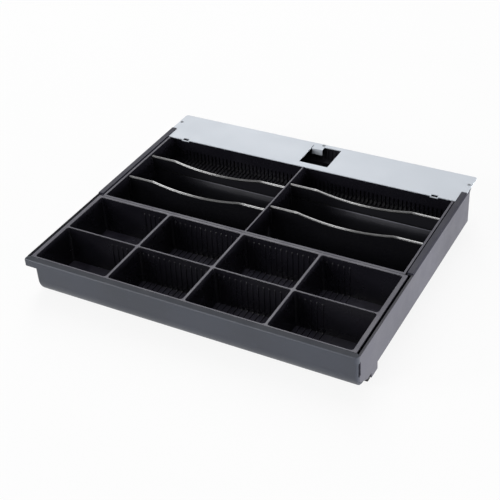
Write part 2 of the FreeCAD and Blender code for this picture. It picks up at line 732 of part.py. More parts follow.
def glide_strip(side, sign):
    inner, outer = f"({HALF} - strip_inset - strip_width)", f"({HALF} - strip_inset)"
    low, high = (inner, outer) if sign > 0 else (f"-{outer}", f"-{inner}")
    strip = span(f"strip_{side}", low, high, behind("strip_start"),
                 PAN_REAR + " - fit", WALL_TOP, f"{WALL_TOP} + strip_height")
    outer_x = sign * (size["overall_width"] / 2 - size["strip_inset"])
    top = size["rim_height"] - size["wall_drop"] + size["strip_height"]

    def outer_top(middle, direction):
        return near(middle.x, outer_x) and near(middle.z, top) and abs(direction.y) > 0.9

    return label(rounded(f"strip_{side}_bevelled", strip, size["strip_bevel"], outer_top),
                 f"glide_strip_{side}")


def rear_cover():
    """Steel plate with a latch window, a hook bent down into it and two lanced bridges."""
    strip_gap = f"({HALF} - strip_inset - strip_width - fit)"
    ahead = centred("cover_ahead", strip_gap, behind(COVER_FRONT), PAN_REAR, COVER_UNDER, below("0"))
    behind_strips = centred("cover_behind", f"({HALF} - cover_inset)", PAN_REAR, behind("overall_depth"),
                            COVER_UNDER, below("0"))
    rear = size["overall_depth"] / 2

    def rear_corner(middle, direction):
        return abs(direction.z) > 0.9 and near(middle.y, rear)

    behind_strips = rounded("cover_rounded", behind_strips, size["cover_corner"], rear_corner)
    window_rear = "(overall_depth - window_inset)"
    window_low = "(window_offset - window_width / 2)"
    window = span("window", window_low, "window_offset + window_width / 2",
                  behind(f"{window_rear} - window_length"), behind(window_rear), COVER_UNDER, below("0"))
    cutters = [window]
    bridges = []
    for side, sign in BAYS.items():
        middle = f"({sign} * lance_offset)"
        slot_back = f"({COVER_FRONT} + lance_bridge + lance_length)"
        cutters.append(span(f"lance_{side}", f"{middle} - lance_width / 2", f"{middle} + lance_width / 2",
                            behind(COVER_FRONT), behind(slot_back), COVER_UNDER, below("0")))
        bridges += lance_bridge(side, middle)
    hook_low = f"({window_low} + hook_inset)"
    hook_high = f"({hook_low} + hook_width)"
    reach = span("hook_reach", hook_low, hook_high, behind(f"{window_rear} - hook_reach"),
                 behind(window_rear), COVER_UNDER, below("0"))
    drop = span("hook_drop", hook_low, hook_high, behind(f"{window_rear} - hook_reach"),
                behind(f"{window_rear} - hook_reach + cover_sheet"), below("hook_drop"), below("0"))
    bend_y = size["overall_depth"] / 2 - size["window_inset"] - size["hook_reach"]

    def bend(middle, direction):
        return near(middle.y, bend_y) and near(middle.z, size["rim_height"]) and abs(direction.x) > 0.9

    hook = rounded("hook_bent", fuse("hook", [reach, drop]), size["hook_bend"], bend)
    plate = cut("cover_plate", fuse("cover_sheets", [ahead, behind_strips]),
                cutters + upright_holes("cover_hole", COVER_SCREWS, COVER_UNDER, "cover_sheet"))
    return label(fuse("cover", [plate, hook] + bridges), "rear_cover")


def lance_bridge(side, middle):
    """The narrow strip in front of a lanced slot, pressed forward and down."""
    low, high = f"{middle} - lance_width / 2 - lance_bridge", f"{middle} + lance_width / 2 + lance_bridge"
    front = f"({COVER_FRONT} - lance_bridge)"
    bar = span(f"bridge_{side}", low, high, behind(front), behind(COVER_FRONT),
               f"{COVER_UNDER} - lance_drop", below("lance_drop"))
    ends = []
    for end, (x0, x1) in {"low": (low, f"{middle} - lance_width / 2"),
                          "high": (f"{middle} + lance_width / 2", high)}.items():
        ends.append(span(f"bridge_{side}_{end}", x0, x1, behind(front),
                         behind(f"{COVER_FRONT} + lance_bridge"), f"{COVER_UNDER} - lance_drop",
                         below("lance_step")))
    return [bar] + ends


def rear_housing():
    """The channel behind the outer tray that carries the cover and gives the latch its room."""
    block = centred("housing_block", HOUSING_HALF, behind(HOUSING_FRONT),
                    behind("overall_depth - cover_sheet * 2"), "housing_lift", COVER_UNDER)
    inside = f"({HOUSING_HALF} - housing_wall)"
    back = "(overall_depth - cover_sheet * 2 - housing_wall)"
    deep = centred("housing_room", inside, behind(f"{HOUSING_FRONT} + housing_wall"),
                   behind(f"{back} - housing_ledge"), "housing_lift + sheet", COVER_UNDER)
    upper = centred("housing_shelf_room", inside, behind(f"{back} - housing_ledge - fit"), behind(back),
                    below("housing_ledge_drop"), COVER_UNDER)
    latch_gap = span("housing_latch_gap", "window_offset - window_width / 2 - latch_margin",
                     "window_offset + window_width / 2 + latch_margin", behind(HOUSING_FRONT),
                     behind(f"{HOUSING_FRONT} + housing_wall"), f"{WALL_TOP} - latch_gap_drop",
                     COVER_UNDER)
    shell = cut("housing_shell", block, [deep, upper, latch_gap])
    ribs = []
    for index in range(WINDOW_RIBS):
        middle = f"(window_offset + ({index} - {(WINDOW_RIBS - 1) / 2}) * rib_pitch)"
        ribs.append(span(f"housing_rib_{index}", f"{middle} - rib_width / 2", f"{middle} + rib_width / 2",
                         behind(f"{back} - rib_depth"), behind(back), below("housing_ledge_drop"),
                         below("rib_top")))
    boss = cylinder("housing_boss", COVER_SCREWS[2][0], behind(COVER_SCREWS[2][1]),
                    f"{COVER_UNDER} - cover_boss_height", "cover_boss_radius", "cover_boss_height")
    trimmed = doc.addObject("Part::Common", "housing_boss_trimmed")
    trimmed.Base = boss
    trimmed.Tool = centred("boss_limit", HOUSING_HALF, behind(HOUSING_FRONT),
                           behind(f"{back} + housing_wall"), "housing_lift", COVER_UNDER)
    whole = fuse("housing_whole", [shell, trimmed] + ribs)
    holes = [cylinder(f"housing_hole_{index}", x, behind(HOUSING_FRONT), HOUSING_SCREW_HEIGHT, SCREW_HOLE,
                      "housing_wall", "y") for index, x in enumerate(HOUSING_SCREWS)]
    holes += upright_holes("housing_cover_hole", COVER_SCREWS[2:], f"{COVER_UNDER} - cover_screw_length",
                           "cover_screw_length")
    return label(cut("housing", whole, holes), "rear_housing")


def screw(name, x, y, z, length, head_radius, axis="z", up=1):
    """A screw from the seat of its head; up is +1 where the shank runs along the axis."""
    offset = "- screw_head_height" if up > 0 else ""
    shank_offset = "" if up > 0 else f"- ({length})"
    at = {"x": x, "y": y, "z": z}
    head_at = dict(at, **{axis: f"{at[axis]} {offset}"})
    shank_at = dict(at, **{axis: f"{at[axis]} {shank_offset}"})
    head = cylinder(name + "_head", *head_at.values(), head_radius, "screw_head_height", axis)
    shank = cylinder(name + "_shank", *shank_at.values(), "screw_radius", length, axis)
    return fuse(name, [head, shank])


def group(name, screws):
    """Identical fasteners as one node of separate solids."""
    item = doc.addObject("Part::Compound", name)
    item.Links = screws
    return label(item, name)


def all_screws():
    group("fascia_screws", [screw(f"fascia_screw_{index}", x, behind(y), "floor_lift",
                                  "sheet + fascia_sheet - fit", "screw_head")
                            for index, (x, y) in enumerate(FASCIA_SCREWS)])
    group("tray_screws", [screw(f"tray_screw_{index}", x, behind(y), "floor_lift",
                                "sheet + note_skirt - fit", "screw_head")
                          for index, (x, y) in enumerate(TRAY_SCREWS)])
    group("housing_screws", [screw(f"housing_screw_{index}", x, behind(f"{HOUSING_FRONT} + housing_wall"),
                                   HOUSING_SCREW_HEIGHT, "housing_wall + rear_wall + screw_point",
                                   "screw_head", "y", -1)
                             for index, x in enumerate(HOUSING_SCREWS)])
    group("cover_screws", [screw(f"cover_screw_{index}", x, behind(y), below("0"), "cover_screw_length",
                                 "cover_screw_head", "z", -1) for index, (x, y) in enumerate(COVER_SCREWS)])


def feet():
    """Two blocks under the fascia's ends and two pads under the rear of the floor."""
    right = f"({HALF} - foot_inset - foot_width)"
    left = f"({FASCIA_LEFT} + left_foot_inset)"
    starts = {"left": (left, "fascia_heel - foot_length"), "right": (right, "foot_start")}
    for side, (x, y) in starts.items():
        block = box(f"foot_{side}", x, behind(y), "0", "foot_width", "foot_length", "fascia_lift")
        foot = rounded(f"foot_{side}_round", block, size["foot_round"],
                       lambda middle, direction: middle.z < size["fascia_lift"] - 0.1)
        label(foot, f"front_foot_{side}")
    for side, sign in BAYS.items():
        pad = cylinder(f"rear_pad_{side}", f"{sign} * ({PAN_HALF} - rear_foot_inset)",
                       f"{PAN_REAR} - rear_foot_inset", "0", "rear_foot_radius", "floor_lift")
        label(pad, f"rear_foot_{side}")


def write_parts():
    doc.recompute()
    failed = [item.Label for item in doc.Objects if "Invalid" in item.State or "Error" in item.State]
    if failed:
        raise RuntimeError(f"objects failed: {failed}")
    for item in parts:
        if item.Shape.isNull() or not item.Shape.isValid():
            raise RuntimeError(f"{item.Label} has no valid shape")
    os.makedirs("parts", exist_ok=True)
    for item in parts:
        item.Shape.exportStep(f"parts/{item.Label}.step")
        bounds = item.Shape.BoundBox
        print(f"{item.Label}: {len(item.Shape.Solids)} solid(s), {item.Shape.Volume / 1000:.2f} cm3, "
              f"x {bounds.XMin:.1f} to {bounds.XMax:.1f}, y {bounds.YMin:.1f} to {bounds.YMax:.1f}, "
              f"z {bounds.ZMin:.1f} to {bounds.ZMax:.1f}")


drawer_tray()
front_fascia()
coin_tray()
note_tray()
for bay_name, bay_sign in BAYS.items():
    for row_label, row_number in ROWS.items():
        divider(bay_name, bay_sign, row_label, row_number)
    glide_strip(bay_name, bay_sign)
rear_cover()
rear_housing()
all_screws()
feet()
write_parts()
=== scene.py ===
"""Cash drawer insert: finishes, moulded ribs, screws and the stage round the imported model."""

import math
import bmesh
import bpy
from bpy.props import FloatProperty, FloatVectorProperty, PointerProperty
from mathutils import Matrix, Vector


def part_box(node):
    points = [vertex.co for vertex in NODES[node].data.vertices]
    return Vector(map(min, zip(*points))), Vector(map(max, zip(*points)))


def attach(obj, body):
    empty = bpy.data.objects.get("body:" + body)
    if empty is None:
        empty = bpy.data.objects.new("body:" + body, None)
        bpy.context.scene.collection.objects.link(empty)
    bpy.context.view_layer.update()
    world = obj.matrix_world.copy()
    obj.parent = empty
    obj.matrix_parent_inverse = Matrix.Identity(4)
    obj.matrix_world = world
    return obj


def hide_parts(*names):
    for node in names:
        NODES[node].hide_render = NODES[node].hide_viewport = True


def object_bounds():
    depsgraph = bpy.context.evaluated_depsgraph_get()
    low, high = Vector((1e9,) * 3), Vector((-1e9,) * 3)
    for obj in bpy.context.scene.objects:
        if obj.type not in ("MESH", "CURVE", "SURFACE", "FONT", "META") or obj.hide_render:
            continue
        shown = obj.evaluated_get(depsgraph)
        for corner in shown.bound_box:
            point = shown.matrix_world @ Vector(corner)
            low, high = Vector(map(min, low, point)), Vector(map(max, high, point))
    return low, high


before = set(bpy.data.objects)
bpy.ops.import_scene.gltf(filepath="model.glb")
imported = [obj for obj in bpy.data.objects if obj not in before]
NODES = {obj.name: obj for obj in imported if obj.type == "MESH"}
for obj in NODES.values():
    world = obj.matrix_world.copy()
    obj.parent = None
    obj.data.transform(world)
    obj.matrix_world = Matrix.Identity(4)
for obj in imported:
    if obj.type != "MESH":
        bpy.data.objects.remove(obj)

bl_info = {
    "name": "Cash Drawer Insert",
    "version": (1, 0, 0),
    "blender": (4, 5, 0),
    "location": "View3D > Sidebar > Drawer",
    "description": "Plastic and painted steel finishes, ribs and screws of a cash drawer insert",
    "category": "Object",
}

CAD_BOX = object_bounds()
FRONT = CAD_BOX[0][1]

# The sizes and places from here to the stage are in millimetres: places along Y are behind the
# front face, and heights are above the surface that the drawer stands on.
RIM = 53
SUNK = 0.3  # how far ribs and fins reach into their walls

# Coin cups at the rim. Each row has its rear wall and what its ribs run out on.
CUP_LEFT = -190.3
CUP_WIDTH = 92.9
CUP_STEP = 95.9
CUP_COLUMNS = 4
CUP_ROWS = ((70.3, "curve"), (138.1, "floor"))
CUP_FLOOR = 7.2
CUP_DRAFT = 1.2 / 45.8
CUP_CORNER = 2.5
CUP_MARGIN = 2
CURVE_RADIUS = 38
CURVE_MIDDLE = (47.3, 45.2)

# Note bays, with the cove between the floor and the rear wall.
BAY_LEFTS = (-188.5, 1.0)
BAY_WIDTH = 187.5
BAY_WALL = 300
BAY_MARGIN = 4
BAND_TOP = 51.5
BAND_OVERLAP = 0.2
COVE_RADIUS = 18
COVE_MIDDLE = (282, 27)

# Note dividers: the height of the fold across the sheet, a height between it and the lowest
# part of the bead, and the height that the rear ones' marks of painted reflection are below.
FOLD = 33
BEAD_ABOVE = 35
PAINTED_LIGHT_BELOW = 33.2

# The drawer's left wall is left of this, from the middle; its flat top there is painted near black
# as shade.
LEFT_WALL = -190

# Angles between two faces, in degrees.
FLAT_ANGLE = 0.6  # below it the two are made one face
SMOOTH_ANGLE = 30  # below it their edge is shaded smooth
CREASE_ANGLE = 10  # above it an edge in a crease stays sharp
SHARP_ANGLE = 50  # above it a convex edge is eased
BEAD_ANGLE = 35  # below it a face next to the bead's is the bead's too

# Screws. The cover's places are across and behind the front face. A hidden group has its places,
# where its seats are, its shanks' length and its turn. The screws from below have seats at a
# height. Level screws lie along Y: their places are across and up, and their seats are behind
# the middle of the model.
HEAD_HEIGHT = 0.9
SHANK_RADIUS = 1.2
COVER_HEAD_RADIUS = 1.95
COVER_SCREW_LENGTH = 4.0
COVER_SCREWS = ((-195.6, 332.0), (195.6, 332.0), (2.0, 347.8))
HIDDEN_HEAD_RADIUS = 2.4
FROM_BELOW = (math.pi, 0, 0)
LEVEL = (-math.pi / 2, 0, 0)
HIDDEN_SCREWS = {
    "fascia_screws": (
        ((-150, 42.0), (-50, 42.0), (50, 42.0), (150, 42.0)), 1.0, 3.5, FROM_BELOW),
    "tray_screws": (
        ((-120, 164.8), (-120, 280.0), (120, 164.8), (120, 280.0)), 1.0, 5.7, FROM_BELOW),
    "housing_screws": (
        ((-150, 24.0), (-60, 24.0), (60, 24.0), (150, 24.0)), 141.0, 6.1, LEVEL),
}
SPIN_SEED = 7

# The stage, in metres: each lamp's setting, place and size, and the camera.
LAMPS = (
    ("key", (-0.87, 1.47, 2.62), (0.9, 4.2)),
    ("right", (1.9, -0.25, 0.10), (1.2, 0.2)),
    ("front", (-2.16, -1.86, 0.97), (0.7, 0.7)),
    ("strip", (-1.08, -2.45, 1.30), (0.45, 1.3)),
)
LAMP_TARGET = (0.0, 0.0, 0.03)
FLOOR_HALF = 6
CAMERA_PLACE = (0.5115, -0.8924, 0.7468)
CAMERA_RIGHT = (0.880, 0.471, -0.0557)
CAMERA_AHEAD = (-0.412, 0.700, -0.584)
SENSOR_WIDTH = 36.0
CLIP_END = 50


def mm(value):
    """Metres from millimetres."""
    return value / 1000


def in_mm(value):
    """Millimetres from metres."""
    return value * 1000


def behind(value):
    """A place along Y from its distance behind the front face, in millimetres."""
    return FRONT + value / 1000


class Board:
    """Adds nodes to a tree and joins them: a value is a number, a colour or a node's output."""

    def __init__(self, tree):
        self.tree = tree
        self.column = 0

    def add(self, kind, inputs=None, **settings):
        node = self.tree.nodes.new(kind)
        node.location = (self.column * 180, -120 * (self.column % 4))
        self.column += 1
        for name, value in settings.items():
            setattr(node, name, value)
        for name, value in (inputs or {}).items():
            self.join(value, node.inputs[name])
        return node

    def join(self, value, socket):
        if isinstance(value, bpy.types.NodeSocket):
            self.tree.links.new(value, socket)
        else:
            socket.default_value = value

    def math(self, operation, first, second=0.0, clamp=False):
        node = self.add("ShaderNodeMath", operation=operation, use_clamp=clamp)
        for socket, value in zip(node.inputs, (first, second)):
            self.join(value, socket)
        return node.outputs[0]


class Finish(Board):
    """A material's board: patterns in the object's own metres, gathered into one surface."""

    def __init__(self, name, **constants):
        material = bpy.data.materials.new(name)
        material.use_nodes = True
        super().__init__(material.node_tree)
        self.material = material
        self.surface = next(
            node for node in material.node_tree.nodes if node.type == "BSDF_PRINCIPLED")
        for socket, value in constants.items():
            self.surface.inputs[socket.replace("_", " ")].default_value = value
        self.place = self.add("ShaderNodeTexCoord").outputs["Object"]
        self.heights = []

    def stretched(self, scale):
        node = self.add("ShaderNodeMapping", {"Vector": self.place})
        node.inputs["Scale"].default_value = scale
        return node.outputs["Vector"]

    def noise(self, scale, detail=2.0, roughness=0.5, place=None):
        node = self.add("ShaderNodeTexNoise", {"Vector": place or self.place})
        node.inputs["Scale"].default_value = scale
        node.inputs["Detail"].default_value = detail
        node.inputs["Roughness"].default_value = roughness
        return node.outputs["Fac"]

    def ramp(self, value, low, high, to_low=0.0, to_high=1.0):
        """A smooth step from to_low at low to to_high at high."""
        node = self.add("ShaderNodeMapRange", interpolation_type="SMOOTHSTEP")
        limits = {"From Min": low, "From Max": high, "To Min": to_low, "To Max": to_high}
        for name, number in limits.items():
            node.inputs[name].default_value = number
        self.join(value, node.inputs["Value"])
        return node.outputs["Result"]

    def blend(self, amount, first, second):
        node = self.add("ShaderNodeMix", data_type="RGBA")
        self.join(amount, node.inputs["Factor"])
        for socket, colour in ((node.inputs[6], first), (node.inputs[7], second)):
            if not isinstance(colour, bpy.types.NodeSocket):
                colour = (*colour[:3], 1.0)
            self.join(colour, socket)
        return node.outputs[2]

    def along(self, axis):
        return self.add("ShaderNodeSeparateXYZ", {"Vector": self.place}).outputs[axis]

    def height(self):
        return self.along("Z")

    def facing(self, axis):
        normal = self.add("ShaderNodeNewGeometry").outputs["Normal"]
        return self.add("ShaderNodeSeparateXYZ", {"Vector": normal}).outputs[axis]

    def bump(self, height, distance, strength):
        self.heights.append((height, distance, strength))

    def finish(self, colour, roughness):
        self.join(colour, self.surface.inputs["Base Color"])
        self.join(roughness, self.surface.inputs["Roughness"])
        normal = None
        for height, distance, strength in self.heights:
            node = self.add("ShaderNodeBump", {"Height": height})
            node.inputs["Distance"].default_value = distance
            node.inputs["Strength"].default_value = strength
            if normal is not None:
                self.join(normal, node.inputs["Normal"])
            normal = node.outputs["Normal"]
        self.join(normal, self.surface.inputs["Normal"])
        return self.material


def lighter(colour, factor):
    """A colour times a factor: above 1 it is lighter, and below 1 darker."""
    return tuple(min(1.0, channel * factor) for channel in colour[:3])


def moulded_plastic(name, colour, rough=0.45, grain=0.00006, rim=None, painted_rim_tone=None,
                    matted=0.0, floor=None, gloss=0.5):
    """Satin moulded plastic: fine spark grain, slow changes of tone and shine, fine scuffs.

    A rim is the height at which flat tops are matted and painted a tone of their own, lighter as
    painted light or darker as painted shade. A floor is the height of the bottoms painted lighter,
    in uneven patches, as painted light from above.
    """
    board = Finish(name, Specular_IOR_Level=gloss)
    tone = board.noise(9.0, 3.0)
    base = board.blend(board.ramp(tone, 0.3, 0.7), lighter(colour, 0.86), lighter(colour, 1.16))
    fleck = board.noise(1400.0, 1.0)
    base = board.blend(board.ramp(fleck, 0.55, 0.8, 0.0, 0.35), base, lighter(colour, 1.7))
    scuff = board.noise(60.0, 4.0, 0.65, board.stretched((1.0, 7.0, 3.0)))
    wear_and_painted_light = board.ramp(scuff, 0.60, 0.75, 0.0, 0.5)
    base = board.blend(wear_and_painted_light, base, lighter(colour, 1.35))
    # Flat tops at the rim take the given tone: painted light where it is lighter, painted shade
    # where it is darker.
    if rim is not None:
        near_top = board.ramp(board.height(), rim - mm(0.6), rim - mm(0.2))
        on_rim = board.math("MULTIPLY", near_top, board.ramp(board.facing("Z"), 0.6, 0.95))
        base = board.blend(on_rim, base, painted_rim_tone)
    # Painted light: up-facing bottoms near the floor height are lighter, in uneven patches.
    if floor is not None:
        near_floor = board.ramp(board.height(), floor + mm(1), floor + mm(3.5), 1.0, 0.0)
        on_floor = board.math("MULTIPLY", near_floor, board.ramp(board.facing("Z"), 0.7, 0.95))
        painted_light_amount = board.ramp(board.noise(55.0, 4.0, 0.6), 0.3, 0.65, 0.55, 1.0)
        base = board.blend(board.math("MULTIPLY", on_floor, painted_light_amount), base, lighter(colour, 4.5))
    patch = board.noise(35.0, 3.0)
    shine = board.ramp(patch, 0.3, 0.7, rough - 0.04, rough + 0.05)
    shine = board.math("SUBTRACT", shine, board.math("MULTIPLY", wear_and_painted_light, 0.06))
    if rim is not None:
        shine = board.math("ADD", shine, board.math("MULTIPLY", on_rim, matted))
    board.bump(board.noise(2200.0, 2.0), grain, 0.6)
    board.bump(board.noise(14.0, 1.0), 0.0004, 0.12)
    return board.finish(base, shine)


def gloss_plastic(name, colour, fold=None, painted_light=None, start=0.0, length=1.0):
    """Polished black sheet: a faint orange peel, hairline scratches and dust.

    A fold is the height of a painted reflection across the sheet: a light band below it, a light
    line just under it and a dark line at it. start and length say where the sheet lies along X,
    and towards its left end the painted light fades out as painted shadow.
    """
    board = Finish(name, Specular_IOR_Level=0.5)
    dust = board.ramp(board.noise(900.0, 2.0, 0.6), 0.66, 0.8, 0.0, 0.2)
    base = board.blend(dust, colour, lighter(colour, 3.0))
    hair = board.noise(120.0, 3.0, 0.7, board.stretched((0.6, 3.0, 14.0)))
    hair = board.ramp(hair, 0.58, 0.66)
    shine = board.ramp(board.noise(40.0, 2.0), 0.3, 0.7, 0.09, 0.14)
    shine = board.math("ADD", shine, board.math("MULTIPLY", hair, 0.04))
    # Painted reflection at the fold, fading out to the left as painted shadow, with faint painted
    # light over the sheet towards the right.
    if fold is not None:
        height = board.height()
        share = board.math("DIVIDE", board.math("SUBTRACT", board.along("X"), start), length)
        painted_light_amount = board.ramp(share, 0.22, 0.5)
        painted_light_streaks = board.noise(70.0, 4.0, 0.6, board.stretched((0.3, 1.0, 3.0)))
        uneven = board.math("MULTIPLY", painted_light_amount, board.ramp(painted_light_streaks, 0.3, 0.65, 0.7, 1.0))
        base = board.blend(board.math("MULTIPLY", painted_light_amount, 0.08), base, painted_light)
        below = board.math("SUBTRACT", 1.0, board.ramp(height, fold - mm(0.4), fold))
        wear_and_painted_light = board.math("MULTIPLY", board.ramp(height, fold - mm(11), fold - mm(3)), below)
        wear_and_painted_light = board.math("MULTIPLY", wear_and_painted_light, uneven)
        base = board.blend(board.math("MULTIPLY", wear_and_painted_light, 0.24), base, painted_light)
        painted_light_line = board.ramp(height, fold - mm(1.4), fold - mm(1.1))
        painted_light_line = board.math("MULTIPLY", painted_light_line, below)
        base = board.blend(board.math("MULTIPLY", painted_light_line, uneven), base, lighter(painted_light, 1.1))
        above = board.math("SUBTRACT", 1.0, board.ramp(height, fold + mm(1.2), fold + mm(1.6)))
        painted_dark_line = board.ramp(height, fold - mm(0.3), fold + mm(0.1))
        painted_dark_line = board.math("MULTIPLY", painted_dark_line, above)
        base = board.blend(painted_dark_line, base, lighter(colour, 0.1))
        dulled = board.math("MULTIPLY", board.math("ADD", wear_and_painted_light, painted_dark_line), 0.3)
        shine = board.math("ADD", shine, dulled)
    board.bump(board.noise(160.0, 1.0), 0.00004, 0.1)
    return board.finish(base, shine)


def bead_with_painted_highlights(name, colour, start, length):
    """The rolled top edge of a divider, polished and painted lighter as highlights on part of its
    dip and its right wing, and painted darker elsewhere.

    start and length say where the bead lies along X.
    """
    board = Finish(name, Specular_IOR_Level=0.6, Coat_IOR=1.9, Coat_Roughness=0.17)
    patchy = board.ramp(board.noise(90.0, 4.0, 0.6), 0.3, 0.65)
    base = board.blend(patchy, lighter(colour, 0.7), lighter(colour, 1.25))
    hair = board.noise(160.0, 3.0, 0.7, board.stretched((0.5, 9.0, 9.0)))
    share = board.math("DIVIDE", board.math("SUBTRACT", board.along("X"), start), length)
    # Painted highlights: the bead is lighter, and also polished, on part of its dip and its right
    # wing, and painted darker elsewhere.
    polish_and_painted_highlight = board.math("MULTIPLY", board.ramp(share, 0.13, 0.20, 0.45, 1.0),
                        board.ramp(share, 0.42, 0.60, 1.0, 0.0))
    polish_and_painted_highlight = board.math("MAXIMUM", polish_and_painted_highlight, board.ramp(share, 0.82, 0.86))
    patches = board.ramp(board.noise(45.0, 3.0), 0.25, 0.5, 0.8, 1.0)
    polish_and_painted_highlight = board.math("MULTIPLY", polish_and_painted_highlight, patches)
    base = board.blend(polish_and_painted_highlight, lighter(colour, 0.3), base)
    base = board.blend(board.ramp(hair, 0.5, 0.7, 0.0, 0.4), base, lighter(colour, 1.6))
    shine = board.math("ADD", board.ramp(hair, 0.3, 0.7, 0.24, 0.30),
                       board.ramp(polish_and_painted_highlight, 0.0, 1.0, 0.14, 0.0))
    board.join(polish_and_painted_highlight, board.surface.inputs["Coat Weight"])
    board.bump(board.noise(220.0, 1.0), 0.00004, 0.05)
    return board.finish(base, shine)


def painted_steel(name, colour, rough=0.42):
    """Smooth light paint on sheet steel: a fine orange peel, faint smears and rubbed marks."""
    board = Finish(name, Specular_IOR_Level=0.45)
    tone = board.noise(6.0, 3.0)
    base = board.blend(board.ramp(tone, 0.3, 0.7), lighter(colour, 0.965), lighter(colour, 1.025))
    speck = board.noise(1600.0, 1.0)
    base = board.blend(board.ramp(speck, 0.66, 0.8, 0.0, 0.35), base, lighter(colour, 0.8))
    rub = board.noise(50.0, 5.0, 0.7, board.stretched((0.5, 8.0, 1.0)))
    rub = board.ramp(rub, 0.64, 0.72, 0.0, 0.4)
    base = board.blend(rub, base, lighter(colour, 0.92))
    shine = board.ramp(board.noise(22.0, 3.0), 0.3, 0.7, rough - 0.06, rough + 0.06)
    shine = board.math("ADD", shine, board.math("MULTIPLY", rub, 0.12))
    board.bump(board.noise(700.0, 2.0), 0.00003, 0.5)
    return board.finish(base, shine)


def zinc_steel(name, colour):
    """Zinc plate: crystalline patches of light and dark, and shallow pits."""
    board = Finish(name, Metallic=1.0)
    tone = board.noise(500.0, 3.0)
    base = board.blend(board.ramp(tone, 0.3, 0.7), lighter(colour, 0.8), lighter(colour, 1.1))
    shine = board.ramp(board.noise(900.0, 2.0), 0.3, 0.7, 0.25, 0.42)
    board.bump(board.noise(2600.0, 1.0), 0.00002, 0.5)
    return board.finish(base, shine)


def foot_rubber(name, colour):
    """Dull rubber with a gritty skin."""
    board = Finish(name, Specular_IOR_Level=0.3)
    grit = board.noise(1100.0, 3.0, 0.6)
    base = board.blend(board.ramp(grit, 0.45, 0.7), colour, lighter(colour, 2.2))
    shine = board.ramp(board.noise(120.0, 2.0), 0.3, 0.7, 0.75, 0.9)
    board.bump(grit, 0.00012, 0.7)
    return board.finish(base, shine)


def new_tree(name, first, sockets):
    """An empty geometry tree with a geometry input, named first, and the other named inputs."""
    tree = bpy.data.node_groups.new(name, "GeometryNodeTree")
    tree.interface.new_socket(first, in_out="INPUT", socket_type="NodeSocketGeometry")
    for label, kind in sockets:
        tree.interface.new_socket(label, in_out="INPUT", socket_type="NodeSocket" + kind)
    tree.interface.new_socket("Geometry", in_out="OUTPUT", socket_type="NodeSocketGeometry")
    board = Board(tree)
    return tree, board, board.add("NodeGroupInput").outputs


def side_by_side(board, given, shape, first):
    """Ends a tree with Count copies of a shape along X, a Pitch apart."""
    start = board.add("ShaderNodeCombineXYZ", {"X": first}).outputs["Vector"]
    step = board.add("ShaderNodeCombineXYZ", {"X": given["Pitch"]}).outputs["Vector"]
    row = board.add("GeometryNodeMeshLine", {
        "Count": given["Count"], "Start Location": start, "Offset": step})
    copies = board.add("GeometryNodeInstanceOnPoints", {
        "Points": row.outputs["Mesh"], "Instance": shape})
    end_tree(board, given, copies)


def end_tree(board, given, copies):
    """Makes the copies real, gives them the finish and hands them out."""
    solid = board.add("GeometryNodeRealizeInstances", {"Geometry": copies.outputs["Instances"]})
    done = board.add("GeometryNodeSetMaterial", {
        "Geometry": solid.outputs["Geometry"], "Material": given["Finish"]})
    board.add("NodeGroupOutput", {"Geometry": done.outputs["Geometry"]})


def rib_tree():
    """Ribs that follow a path on a wall, side by side along X."""
    tree, board, given = new_tree("Moulded ribs", "Path", (
        ("Count", "Int"), ("Pitch", "Float"), ("First", "Float"), ("Width", "Float"),
        ("Height", "Float"), ("Top share", "Float"), ("Root", "Float"), ("Run-out", "Float"),
        ("Finish", "Material")))
    path = board.add("GeometryNodeMeshToCurve", {"Mesh": given["Path"]}).outputs["Curve"]
    path = board.add("GeometryNodeSetCurveNormal", {"Curve": path, "Normal": (1, 0, 0)},
                     mode="FREE").outputs["Curve"]
    gone = board.add("GeometryNodeSplineParameter").outputs["Length"]
    whole = board.add("GeometryNodeSplineLength").outputs["Length"]
    nearest_end = board.math("MINIMUM", gone, board.math("SUBTRACT", whole, gone))
    share = board.math("DIVIDE", nearest_end, given["Run-out"], clamp=True)
    share = board.math("MAXIMUM", share, 0.15)
    section = board.add("GeometryNodeCurvePrimitiveQuadrilateral", mode="TRAPEZOID")
    board.join(board.math("ADD", given["Height"], given["Root"]), section.inputs["Height"])
    board.join(given["Width"], section.inputs["Bottom Width"])
    board.join(board.math("MULTIPLY", given["Width"], given["Top share"]),
               section.inputs["Top Width"])
    section.inputs["Offset"].default_value = 0.0
    rise = board.math("MULTIPLY", board.math("SUBTRACT", given["Height"], given["Root"]), 0.5)
    lift = board.add("ShaderNodeCombineXYZ", {"Y": rise}).outputs["Vector"]
    section = board.add("GeometryNodeTransform", {
        "Geometry": section.outputs["Curve"], "Translation": lift})
    rib = board.add("GeometryNodeCurveToMesh", {
        "Curve": path, "Profile Curve": section.outputs["Geometry"], "Scale": share,
        "Fill Caps": True})
    side_by_side(board, given, rib.outputs["Mesh"], given["First"])
    return tree


def fin_tree():
    """Flat fins cut to one outline, side by side along X."""
    tree, board, given = new_tree("Moulded fins", "Outline", (
        ("Count", "Int"), ("Pitch", "Float"), ("First", "Float"), ("Width", "Float"),
        ("Finish", "Material")))
    across = board.add("ShaderNodeCombineXYZ", {"X": given["Width"]}).outputs["Vector"]
    body = board.add("GeometryNodeExtrudeMesh", {"Mesh": given["Outline"], "Offset": across},
                     mode="FACES")
    body.inputs["Individual"].default_value = False
    back = board.add("GeometryNodeFlipFaces", {"Mesh": given["Outline"]})
    fin = board.add("GeometryNodeJoinGeometry")
    board.join(body.outputs["Mesh"], fin.inputs[0])
    board.join(back.outputs["Mesh"], fin.inputs[0])
    half = board.math("MULTIPLY", given["Width"], 0.5)
    side_by_side(board, given, fin.outputs["Geometry"],
                 board.math("SUBTRACT", given["First"], half))
    return tree


